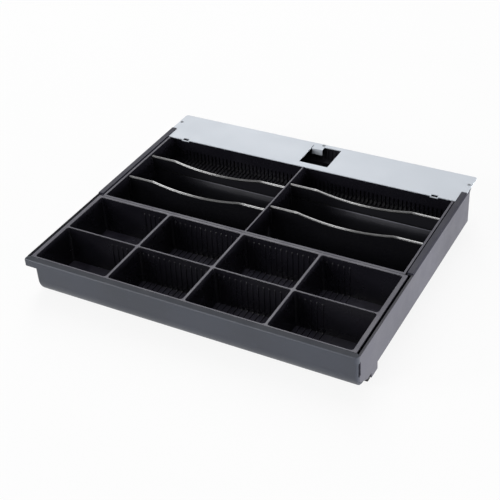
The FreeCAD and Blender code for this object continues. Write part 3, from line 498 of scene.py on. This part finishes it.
def screw_tree():
    """Turned screws with a cross recess, one at every point, each at its own angle."""
    tree, board, given = new_tree("Cross recess screws", "Places", (
        ("Blank", "Object"), ("Head radius", "Float"), ("Head height", "Float"),
        ("Turn", "Rotation"), ("Spin", "Float"), ("Seed", "Int"), ("Finish", "Material")))
    tall, wide = given["Head height"], given["Head radius"]
    blank = board.add("GeometryNodeObjectInfo", {"Object": given["Blank"]},
                      transform_space="ORIGINAL")
    slot_long, slot_wide = board.math("MULTIPLY", wide, 1.15), board.math("MULTIPLY", wide, 0.26)
    recess = board.add("GeometryNodeMeshBoolean", operation="DIFFERENCE", solver="EXACT")
    board.join(blank.outputs["Geometry"], recess.inputs["Mesh 1"])
    for x, y in ((slot_long, slot_wide), (slot_wide, slot_long)):
        size = board.add("ShaderNodeCombineXYZ", {"X": x, "Y": y, "Z": tall}).outputs["Vector"]
        box = board.add("GeometryNodeMeshCube", {"Size": size})
        rise = board.math("MULTIPLY", tall, 0.95)
        shift = board.add("ShaderNodeCombineXYZ", {"Z": rise}).outputs["Vector"]
        arm = board.add("GeometryNodeTransform", {
            "Geometry": box.outputs["Mesh"], "Translation": shift})
        board.join(arm.outputs["Geometry"], recess.inputs["Mesh 2"])
    twist = board.add("FunctionNodeRandomValue", data_type="FLOAT")
    twist.inputs[2].default_value = 0.0
    board.join(given["Spin"], twist.inputs[3])
    board.join(given["Seed"], twist.inputs["Seed"])
    own = board.add("FunctionNodeAxisAngleToRotation", {
        "Axis": (0, 0, 1), "Angle": twist.outputs[1]})
    turned = board.add("FunctionNodeRotateRotation", {
        "Rotation": given["Turn"], "Rotate By": own.outputs["Rotation"]}, rotation_space="LOCAL")
    copies = board.add("GeometryNodeInstanceOnPoints", {
        "Points": given["Places"], "Instance": recess.outputs["Mesh"],
        "Rotation": turned.outputs["Rotation"]})
    end_tree(board, given, copies)
    return tree


def shown(name, mesh):
    """An object for a mesh, linked to the scene."""
    item = bpy.data.objects.new(name, mesh)
    bpy.context.scene.collection.objects.link(item)
    return item


def mesh_of(name, shape):
    """A mesh from a bmesh, which is freed."""
    mesh = bpy.data.meshes.new(name)
    shape.to_mesh(mesh)
    shape.free()
    return mesh


def evaluated_mesh(item):
    """The plain mesh that an object's modifiers make."""
    bpy.context.view_layer.update()
    return bpy.data.meshes.new_from_object(
        item.evaluated_get(bpy.context.evaluated_depsgraph_get()))


def grown(name, tree, points, edges, values, faces=()):
    """The mesh that a tree makes from points, edges and faces, its inputs set by identifier."""
    mesh = bpy.data.meshes.new(name)
    mesh.from_pydata(points, edges, faces)
    seed = shown(name, mesh)
    modifier = seed.modifiers.new(tree.name, "NODES")
    modifier.node_group = tree
    sockets = {item.name: item.identifier for item in tree.interface.items_tree
               if item.in_out == "INPUT"}
    for label, value in values.items():
        modifier[sockets[label]] = value
    made = evaluated_mesh(seed)
    bpy.data.objects.remove(seed)
    return made


def joined(name, meshes):
    """One object from plain meshes that share a finish."""
    if not all(mesh.polygons for mesh in meshes):
        raise RuntimeError(f"a part of {name} was not made")
    shape = bmesh.new()
    for mesh in meshes:
        shape.from_mesh(mesh)
    bmesh.ops.remove_doubles(shape, verts=shape.verts, dist=1e-7)
    bmesh.ops.recalc_face_normals(shape, faces=shape.faces)
    for face in shape.faces:
        face.smooth = True
    for edge in shape.edges:
        if len(edge.link_faces) == 2:
            edge.smooth = edge.calc_face_angle(0) < math.radians(SMOOTH_ANGLE)
    mesh = mesh_of(name, shape)
    for material in meshes[0].materials:
        mesh.materials.append(material)
    return shown(name, mesh)


def screw_blank(head_radius, head_height, shank_radius, length):
    """A screw without its recess, turned about Z with the seat of its head at the origin."""
    dome = [(head_radius * math.sin(angle), head_height * (0.45 + 0.55 * math.cos(angle)))
            for angle in (math.radians(step * 15) for step in range(1, 7))]
    outline = [(0.0, head_height), *dome, (head_radius, 0.0), (shank_radius, 0.0),
               (shank_radius, -length + shank_radius * 0.7), (shank_radius * 0.3, -length),
               (0.0, -length)]
    shape = bmesh.new()
    verts = [shape.verts.new((x, 0.0, z)) for x, z in outline]
    edges = [shape.edges.new(pair) for pair in zip(verts, verts[1:])]
    bmesh.ops.spin(shape, geom=[*verts, *edges], cent=(0, 0, 0), axis=(0, 0, 1),
                   angle=math.tau, steps=32, use_merge=True)
    bmesh.ops.remove_doubles(shape, verts=shape.verts, dist=1e-6)
    bmesh.ops.recalc_face_normals(shape, faces=shape.faces)
    return shown("screw_blank", mesh_of("screw_blank", shape))


def set_screws(node, body, places, turn, head_radius, length, material):
    """Recessed screws in the places of a CAD node's plain ones."""
    radius, height = mm(head_radius), mm(HEAD_HEIGHT)
    blank = screw_blank(radius, height, mm(SHANK_RADIUS), mm(length))
    mesh = grown(node + "_recessed", screw_tree(), places, [], {
        "Blank": blank, "Head radius": radius, "Head height": height, "Turn": turn,
        "Spin": math.pi / 2, "Seed": SPIN_SEED, "Finish": material})
    bpy.data.objects.remove(blank)
    piece = joined(node + "_recessed", [mesh])
    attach(piece, body)
    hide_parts(node)


def wear(node, material):
    """Give a CAD node its finish."""
    for slot in NODES[node].material_slots:
        slot.material = material


def eased(node, body, radius, materials, chosen=None, crease=None):
    """A copy of a CAD node with its sharp edges eased, as a mould or a press leaves them.

    The chosen faces get the second material. They are marked before flat neighbours are
    dissolved, and stay apart from them. A crease is a height at which level edges stay sharp.
    """
    shape = bmesh.new()
    shape.from_mesh(NODES[node].data)
    bmesh.ops.remove_doubles(shape, verts=shape.verts, dist=2e-6)
    for face in shape.faces:
        face.smooth = True
        face.material_index = 0
    if chosen is not None:
        for face in chosen(shape):
            face.material_index = 1
    bmesh.ops.dissolve_limit(shape, angle_limit=math.radians(FLAT_ANGLE), verts=shape.verts,
                             edges=shape.edges, delimit={"MATERIAL"})
    weight = shape.edges.layers.float.new("bevel_weight_edge")
    for edge in shape.edges:
        angle = math.degrees(edge.calc_face_angle(0)) if len(edge.link_faces) == 2 else 90
        level = crease is not None and all(
            abs(vert.co.z - crease) < mm(0.5) for vert in edge.verts)
        edge.smooth = angle < SMOOTH_ANGLE and not (level and angle > CREASE_ANGLE)
        edge[weight] = 1.0 if angle > SHARP_ANGLE and edge.is_convex else 0.0
    mesh = mesh_of(node + "_eased", shape)
    for material in materials:
        mesh.materials.append(material)
    piece = shown(node + "_eased", mesh)
    bevel = piece.modifiers.new("eased edges", "BEVEL")
    bevel.width = radius
    bevel.segments = 2
    bevel.limit_method = "WEIGHT"
    bevel.use_clamp_overlap = False
    shading = piece.modifiers.new("even shading", "WEIGHTED_NORMAL")
    shading.weight = 50
    shading.keep_sharp = True
    finished = evaluated_mesh(piece)
    piece.modifiers.clear()
    piece.data = finished
    bpy.data.meshes.remove(mesh)
    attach(piece, body)
    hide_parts(node)


def left_edge(shape):
    """The flat top of the drawer's left wall, which is painted near black as shade."""
    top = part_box("drawer_tray")[1].z - mm(0.5)
    return [face for face in shape.faces
            if face.normal.z > 0.9 and face.calc_center_median().z > top
            and face.calc_center_median().x < mm(LEFT_WALL)]


def bead_faces(shape):
    """The faces of the rolled bead: round from its widest line, to the crease at the sheet."""
    high = [vert.co.y for vert in shape.verts if vert.co.z > mm(BEAD_ABOVE)]
    middle = (min(high) + max(high)) / 2
    reach = (max(high) - min(high)) / 2
    found = {face for face in shape.faces
             if any(abs(vert.co.y - middle) > 0.9 * reach and vert.co.z > mm(BEAD_ABOVE)
                    for vert in face.verts)}
    to_visit = list(found)
    while to_visit:
        face = to_visit.pop()
        for edge in face.edges:
            if (len(edge.link_faces) == 2
                    and edge.calc_face_angle(0) < math.radians(BEAD_ANGLE)):
                for other in edge.link_faces:
                    if other not in found:
                        found.add(other)
                        to_visit.append(other)
    return found


def colour_setting(name, description, default):
    return FloatVectorProperty(name=name, description=description, default=default, size=3,
                               min=0.0, max=1.0, subtype="COLOR")


def length_setting(name, description, default):
    return FloatProperty(name=name, description=description, default=mm(default), unit="LENGTH",
                         min=0.0, precision=5)


def power_setting(name, description, default):
    return FloatProperty(name=name, description=description, default=default, unit="POWER")


class DrawerColours(bpy.types.PropertyGroup):
    # Painted light: the drawer tray's plastic is set lighter than the fascia's for its lit sides.
    drawer: colour_setting("Drawer", "Plastic of the outer drawer tray, lightened as painted light for its lit sides", (0.060, 0.060, 0.078))
    fascia: colour_setting("Fascia", "Plastic of the curved front", (0.034, 0.039, 0.054))
    trays: colour_setting(
        "Trays", "Plastic inside the coin and note trays", (0.0095, 0.0090, 0.0130))
    rims: colour_setting(
        "Rims", "Painted light on the trays' matted top rims", (0.029, 0.027, 0.043))
    dividers: colour_setting(
        "Dividers", "Glossy plastic of the note dividers", (0.008, 0.008, 0.010))
    painted_light: colour_setting(
        "Bead painted highlight", "Painted highlights on the note dividers' top edges", (0.030, 0.030, 0.033))
    fold: colour_setting(
        "Painted reflection at the fold", "Painted reflection at the fold across the rear note dividers", (0.155, 0.155, 0.185))
    strips: colour_setting("Strips", "Plastic of the glide strips", (0.016, 0.016, 0.026))
    cover: colour_setting("Cover", "Paint of the steel cover plate", (0.56, 0.60, 0.655))
    screws: colour_setting("Screws", "Zinc plate of the hidden screws", (0.62, 0.62, 0.62))
    feet: colour_setting("Feet", "Rubber of the feet", (0.020, 0.020, 0.022))


class RibSizes(bpy.types.PropertyGroup):
    cup_pitch: length_setting("Cup pitch", "Distance between the ribs in a coin cup", 6.75)
    cup_width: length_setting("Cup width", "Width of a rib at its root in a coin cup", 2.4)
    cup_height: length_setting("Cup height", "How far a rib stands off the cup's wall", 0.9)
    cup_top: length_setting("Cup top", "Height of the ribs' upper ends above the base", 46.5)
    cup_reach: length_setting(
        "Cup reach", "Half width of the ribbed middle of the coin tray", 132.0)
    note_pitch: length_setting(
        "Note pitch", "Distance between the fins on a note bay's rear wall", 5.38)
    note_width: length_setting("Note width", "Width of a fin in a note bay", 3.5)
    note_height: length_setting("Note height", "How far a fin stands off the bay's wall", 2.0)
    note_top: length_setting("Note top", "Height of the fins' upper ends above the base", 34.5)
    note_ledge: length_setting(
        "Note ledge", "Height of the fins' flat tops above the base", 22.0)
    note_reach: length_setting("Note reach", "How far the fins run forward on the floor", 20.0)


class StageSettings(bpy.types.PropertyGroup):
    world: FloatProperty(
        name="World", description="Strength of the even light from all round", default=0.30)
    key: power_setting("Key", "Power of the lamp above the rear left", 65.0)
    right: power_setting("Right", "Power of the lamp on the right", 40.0)
    front: power_setting("Front", "Power of the low lamp at the left", 24.0)
    strip: power_setting("Strip", "Power of the tall lamp in front", 18.0)
    lens: FloatProperty(
        name="Lens", description="Focal length of the camera", default=78.5, unit="CAMERA")


def settings():
    scene = bpy.context.scene
    return scene.drawer_colours, scene.drawer_ribs, scene.drawer_stage


class FinishDrawer(bpy.types.Operator):
    """Satin plastic on the outer drawer tray and its rear housing, and rubber on its feet"""

    bl_idname = "drawer.finish_drawer"
    bl_label = "Outer drawer"

    def execute(self, context):
        colours = settings()[0]
        # Painted shade: the flat tops of the drawer's walls are darker, and the top of its left
        # wall is near black.
        plastic = moulded_plastic(
            "drawer satin plastic", colours.drawer, rim=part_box("drawer_tray")[1].z,
            painted_rim_tone=lighter(colours.drawer, 0.4), matted=0.3)
        painted_shade = moulded_plastic(
            "drawer dull left edge", lighter(colours.drawer, 0.07), 0.8, gloss=0.08)
        eased("drawer_tray", "drawer", mm(0.35), [plastic, painted_shade], left_edge)
        wear("rear_housing",
             moulded_plastic("housing satin plastic", lighter(colours.trays, 0.8), 0.5))
        rubber = foot_rubber("foot rubber", colours.feet)
        for node in ("front_foot_left", "front_foot_right", "rear_foot_left", "rear_foot_right"):
            wear(node, rubber)
        return {"FINISHED"}


class FinishFascia(bpy.types.Operator):
    """Satin plastic on the curved front with its lip"""

    bl_idname = "drawer.finish_fascia"
    bl_label = "Front fascia"

    def execute(self, context):
        colour = settings()[0].fascia
        # Painted shade: the flat top of the fascia's lip is darker.
        wear("front_fascia", moulded_plastic(
            "fascia satin plastic", colour, 0.42, rim=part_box("front_fascia")[1].z,
            painted_rim_tone=lighter(colour, 0.5), matted=0.4))
        return {"FINISHED"}


class FinishCoinTray(bpy.types.Operator):
    """Plastic on the coin tray, and the ribs down the rear walls of its cups"""

    bl_idname = "drawer.finish_coin_tray"
    bl_label = "Coin tray"

    def execute(self, context):
        colours, ribs, _ = settings()
        # Painted light: the rims' flat tops are lighter, and so are the cups' floors.
        plastic = moulded_plastic(
            "coin tray plastic", colours.trays, 0.25, rim=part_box("coin_tray")[1].z,
            painted_rim_tone=colours.rims, matted=0.24, floor=mm(CUP_FLOOR))
        eased("coin_tray", "coin_insert", mm(0.4), [plastic])
        tree = rib_tree()
        meshes = []
        for wall, ending in CUP_ROWS:
            path = self.rib_path(wall, ending, in_mm(ribs.cup_top))
            points = [(0, behind(y), mm(z)) for y, z in path]
            edges = [(i, i + 1) for i in range(len(points) - 1)]
            for column in range(CUP_COLUMNS):
                places = self.rib_places(column, in_mm(ribs.cup_pitch), in_mm(ribs.cup_reach))
                meshes.append(grown("coin_cup_ribs", tree, points, edges, {
                    "Count": len(places), "Pitch": ribs.cup_pitch, "First": mm(places[0]),
                    "Width": ribs.cup_width, "Height": ribs.cup_height, "Top share": 0.45,
                    "Root": mm(SUNK), "Run-out": mm(1.6), "Finish": plastic}))
        piece = joined("coin_cup_ribs", meshes)
        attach(piece, "coin_insert")
        return {"FINISHED"}

    @staticmethod
    def rib_path(wall, ending, top):
        """A rib's run, as places behind the front face and heights.

        It goes down the rear wall, round the corner at its foot, and out on the floor or up the
        front cups' curve.
        """
        path = [(wall - CUP_DRAFT * (RIM - z), z) for z in (top, top - 0.8, top - 1.6, 30.0, 12.0)]
        foot = wall - CUP_DRAFT * (RIM - CUP_FLOOR)
        for turn in (0, 30, 60, 90):
            angle = math.radians(turn)
            path.append((foot - CUP_CORNER * (1 - math.cos(angle)),
                         CUP_FLOOR + CUP_CORNER * (1 - math.sin(angle))))
        if ending == "floor":
            return path + [(y, CUP_FLOOR) for y in (100.0, 76.5, 75.7, 75.0)]
        middle, height = CURVE_MIDDLE
        path += [(52.0, CUP_FLOOR), (middle, CUP_FLOOR)]
        for turn in (8, 16, 24, 32, 40, 44, 46, 47.5):
            angle = math.radians(turn)
            path.append((middle - CURVE_RADIUS * math.sin(angle),
                         height - CURVE_RADIUS * math.cos(angle)))
        return path

    @staticmethod
    def rib_places(column, pitch, reach):
        """Where the ribs of one cup stand across, kept to the ribbed middle of the tray."""
        low = CUP_LEFT + column * CUP_STEP
        high = low + CUP_WIDTH
        count = int((high - low - CUP_MARGIN) / pitch)
        first = (low + high) / 2 - (count - 1) / 2 * pitch
        places = [first + n * pitch for n in range(count)]
        return [x for x in places if abs(x) <= reach]


class FinishNoteTray(bpy.types.Operator):
    """Plastic on the note tray, and the fins and the band above them on its rear walls"""

    bl_idname = "drawer.finish_note_tray"
    bl_label = "Note tray"

    def execute(self, context):
        colours, ribs, _ = settings()
        # Painted light: the rims' flat tops are lighter.
        plastic = moulded_plastic(
            "note tray plastic", colours.trays, 0.24, rim=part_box("note_tray")[1].z,
            painted_rim_tone=colours.rims, matted=0.30)
        eased("note_tray", "drawer", mm(0.35), [plastic])
        tree = fin_tree()
        top = in_mm(ribs.note_top)
        back = BAY_WALL + SUNK
        face = BAY_WALL - in_mm(ribs.note_height)
        fin = self.fin_outline(back, face, top, in_mm(ribs.note_ledge), in_mm(ribs.note_reach))
        band = [(back, BAND_TOP), (back, top), (face, top), (face, BAND_TOP)]
        fin_points, band_points = (
            [(0, behind(y), mm(z)) for y, z in outline] for outline in (fin, band))
        pitch = in_mm(ribs.note_pitch)
        meshes = []
        for low in BAY_LEFTS:
            middle = low + BAY_WIDTH / 2
            count = int((BAY_WIDTH - BAY_MARGIN) / pitch)
            first = middle - (count - 1) / 2 * pitch
            meshes.append(grown("note_bay_fins", tree, fin_points, [], {
                "Count": count, "Pitch": ribs.note_pitch, "First": mm(first),
                "Width": ribs.note_width, "Finish": plastic}, [tuple(range(len(fin_points)))]))
            meshes.append(grown("note_bay_band", tree, band_points, [], {
                "Count": 1, "Pitch": 0.0, "First": mm(middle),
                "Width": mm(BAY_WIDTH + BAND_OVERLAP), "Finish": plastic}, [(0, 1, 2, 3)]))
        piece = joined("note_bay_fins", meshes)
        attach(piece, "drawer")
        return {"FINISHED"}

    @staticmethod
    def fin_outline(back, face, top, ledge, reach):
        """A fin's outline: down inside the rear wall and its cove, and back over its ledge."""
        middle, height = COVE_MIDDLE
        radius = COVE_RADIUS + SUNK
        outline = [(back, top)]
        for turn in range(0, 91, 10):
            angle = math.radians(turn)
            outline.append((middle + radius * math.cos(angle), height - radius * math.sin(angle)))
        end, floor = middle - reach, height - COVE_RADIUS
        return outline + [
            (end, floor - SUNK), (end, floor + 0.2), (end + 1.2, floor + 1.0),
            (278.0, ledge - 1.2), (280.5, ledge - 0.3), (283.5, ledge), (face, ledge),
            (face, top)]


class FinishDividers(bpy.types.Operator):
    """Glossy plastic on the four note dividers, with painted highlights on the beads and a painted
    reflection at the rear ones' folds
    """

    bl_idname = "drawer.finish_dividers"
    bl_label = "Note dividers"

    def execute(self, context):
        colours = settings()[0]
        plain = gloss_plastic("divider gloss plastic", colours.dividers)
        # Painted reflection at the rear dividers' folds, weaker on the left ones; painted
        # highlights on all beads.
        for side, painted_light_strength in (("left", 0.75), ("right", 1.0)):
            low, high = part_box(f"note_divider_{side}_rear")
            start, length = low.x, high.x - low.x
            bead = bead_with_painted_highlights(f"{side} divider rubbed bead", colours.painted_light, start, length)
            wear_and_painted_light = gloss_plastic(
                f"{side} divider plastic with rubbed fold", colours.dividers, mm(PAINTED_LIGHT_BELOW),
                lighter(colours.fold, painted_light_strength), start, length)
            for row, sheet in (("front", plain), ("rear", wear_and_painted_light)):
                eased(f"note_divider_{side}_{row}", f"divider_{side}_{row}",
                      mm(0.2), (sheet, bead), bead_faces, crease=mm(FOLD))
        return {"FINISHED"}


class FinishStrips(bpy.types.Operator):
    """Fine grained plastic on the two glide strips"""

    bl_idname = "drawer.finish_strips"
    bl_label = "Glide strips"

    def execute(self, context):
        plastic = moulded_plastic(
            "strip grained plastic", settings()[0].strips, 0.6, grain=0.0001, gloss=0.27)
        for side in ("left", "right"):
            wear(f"glide_strip_{side}", plastic)
        return {"FINISHED"}


class FinishCover(bpy.types.Operator):
    """Light paint on the steel cover plate, and darker paint on its screws"""

    bl_idname = "drawer.finish_cover"
    bl_label = "Cover plate"

    def execute(self, context):
        colour = settings()[0].cover
        wear("rear_cover", painted_steel("cover paint", colour, 0.55))
        places = [(mm(x), behind(y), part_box("rear_cover")[1].z) for x, y in COVER_SCREWS]
        set_screws("cover_screws", "drawer", places, (0, 0, 0),
                   COVER_HEAD_RADIUS, COVER_SCREW_LENGTH,
                   painted_steel("cover screw paint", lighter(colour, 0.35)))
        return {"FINISHED"}


class FinishScrews(bpy.types.Operator):
    """Zinc plate on the hidden screws"""

    bl_idname = "drawer.finish_screws"
    bl_label = "Hidden screws"

    def execute(self, context):
        zinc = zinc_steel("zinc plate", settings()[0].screws)
        for node, (places, seat, length, turn) in HIDDEN_SCREWS.items():
            if turn == FROM_BELOW:
                points = [(mm(x), behind(y), mm(seat)) for x, y in places]
            else:
                points = [(mm(x), mm(seat), mm(z)) for x, z in places]
            set_screws(node, "drawer", points, turn, HIDDEN_HEAD_RADIUS, length,
                       zinc)
        return {"FINISHED"}


def softbox(name, place, size, power):
    """A rectangular lamp turned towards the object."""
    lamp = bpy.data.lights.new(name, "AREA")
    lamp.shape = "RECTANGLE"
    lamp.size, lamp.size_y = size
    lamp.energy = power
    item = shown(name, lamp)
    item.location = place
    towards = Vector(LAMP_TARGET) - Vector(place)
    item.rotation_euler = towards.to_track_quat("-Z", "Y").to_euler()


class BuildStage(bpy.types.Operator):
    """Pale floor, soft lamps, an even world and the camera"""

    bl_idname = "drawer.build_stage"
    bl_label = "Stage"

    def execute(self, context):
        stage = settings()[2]
        mesh = bpy.data.meshes.new("floor")
        corners = [(x * FLOOR_HALF, y * FLOOR_HALF, 0) for x, y in
                   ((-1, -1), (1, -1), (1, 1), (-1, 1))]
        mesh.from_pydata(corners, [], [(0, 1, 2, 3)])
        floor = shown("floor", mesh)
        mesh.materials.append(self.floor_material())

        world = bpy.data.worlds.new("studio")
        world.use_nodes = True
        context.scene.world = world
        board = Board(world.node_tree)
        background = next(node for node in world.node_tree.nodes if node.type == "BACKGROUND")
        seen = self.seen(board)
        strength = board.math("ADD", stage.world, board.math("MULTIPLY", seen, 1.0 - stage.world))
        board.join(strength, background.inputs["Strength"])
        background.inputs["Color"].default_value = (1, 1, 1, 1)

        for setting, place, size in LAMPS:
            softbox(f"{setting} lamp", place, size, getattr(stage, setting))

        lens = bpy.data.cameras.new("camera")
        lens.lens = stage.lens
        lens.sensor_width = SENSOR_WIDTH
        lens.clip_end = CLIP_END
        ahead = Vector(CAMERA_AHEAD).normalized()
        right = Vector(CAMERA_RIGHT)
        right = (right - right.dot(ahead) * ahead).normalized()
        turn = Matrix((right, right.cross(ahead), -ahead)).transposed().to_4x4()
        camera = shown("camera", lens)
        camera.matrix_world = Matrix.Translation(CAMERA_PLACE) @ turn
        context.scene.camera = camera
        context.scene.view_settings.view_transform = "Standard"
        return {"FINISHED"}

    @staticmethod
    def seen(board):
        """1 for a ray from the camera, a reflection or a clear pane, and 0 for other rays."""
        rays = board.add("ShaderNodeLightPath").outputs
        total = board.math("ADD", rays["Is Camera Ray"], rays["Is Glossy Ray"], clamp=True)
        return board.math("ADD", total, rays["Is Transmission Ray"], clamp=True)

    def floor_material(self):
        """White paper that keeps a faint shadow."""
        board = Finish("floor paper")
        nodes = board.tree.nodes
        nodes.remove(board.surface)
        output = next(node for node in nodes if node.type == "OUTPUT_MATERIAL")
        tone = board.blend(board.ramp(board.noise(4.0), 0.3, 0.7), (0.88,) * 3, (0.90,) * 3)
        paper = board.add("ShaderNodeBsdfDiffuse", {"Color": tone}).outputs["BSDF"]
        glow = board.add("ShaderNodeEmission", {"Color": (1, 1, 1, 1)}).outputs["Emission"]
        share = board.math("MULTIPLY", self.seen(board), 0.88)
        mix = board.add("ShaderNodeMixShader", {"Fac": share})
        board.join(paper, mix.inputs[1])
        board.join(glow, mix.inputs[2])
        board.join(mix.outputs["Shader"], output.inputs["Surface"])
        return board.material


class DrawerPanel(bpy.types.Panel):
    """Lists the drawer's pieces and their settings"""

    bl_idname = "VIEW3D_PT_drawer"
    bl_label = "Cash drawer insert"
    bl_space_type = "VIEW_3D"
    bl_region_type = "UI"
    bl_category = "Drawer"

    def draw(self, context):
        for group in settings():
            box = self.layout.box()
            for name in group.bl_rna.properties.keys():
                if name not in ("rna_type", "name"):
                    box.prop(group, name)
        for piece in PIECES:
            self.layout.operator(piece.bl_idname)


PIECES = (FinishDrawer, FinishFascia, FinishCoinTray, FinishNoteTray, FinishDividers,
          FinishStrips, FinishCover, FinishScrews, BuildStage)
GROUPS = {
    "drawer_colours": DrawerColours, "drawer_ribs": RibSizes, "drawer_stage": StageSettings}


def register():
    for name, group in GROUPS.items():
        bpy.utils.register_class(group)
        setattr(bpy.types.Scene, name, PointerProperty(type=group))
    for item in (*PIECES, DrawerPanel):
        bpy.utils.register_class(item)


def unregister():
    for item in reversed((*PIECES, DrawerPanel)):
        bpy.utils.unregister_class(item)
    for name, group in GROUPS.items():
        delattr(bpy.types.Scene, name)
        bpy.utils.unregister_class(group)


def main():
    register()
    bpy.ops.drawer.finish_drawer()
    bpy.ops.drawer.finish_fascia()
    bpy.ops.drawer.finish_coin_tray()
    bpy.ops.drawer.finish_note_tray()
    bpy.ops.drawer.finish_dividers()
    bpy.ops.drawer.finish_strips()
    bpy.ops.drawer.finish_cover()
    bpy.ops.drawer.finish_screws()
    bpy.ops.drawer.build_stage()


if __name__ == "__main__":
    main()
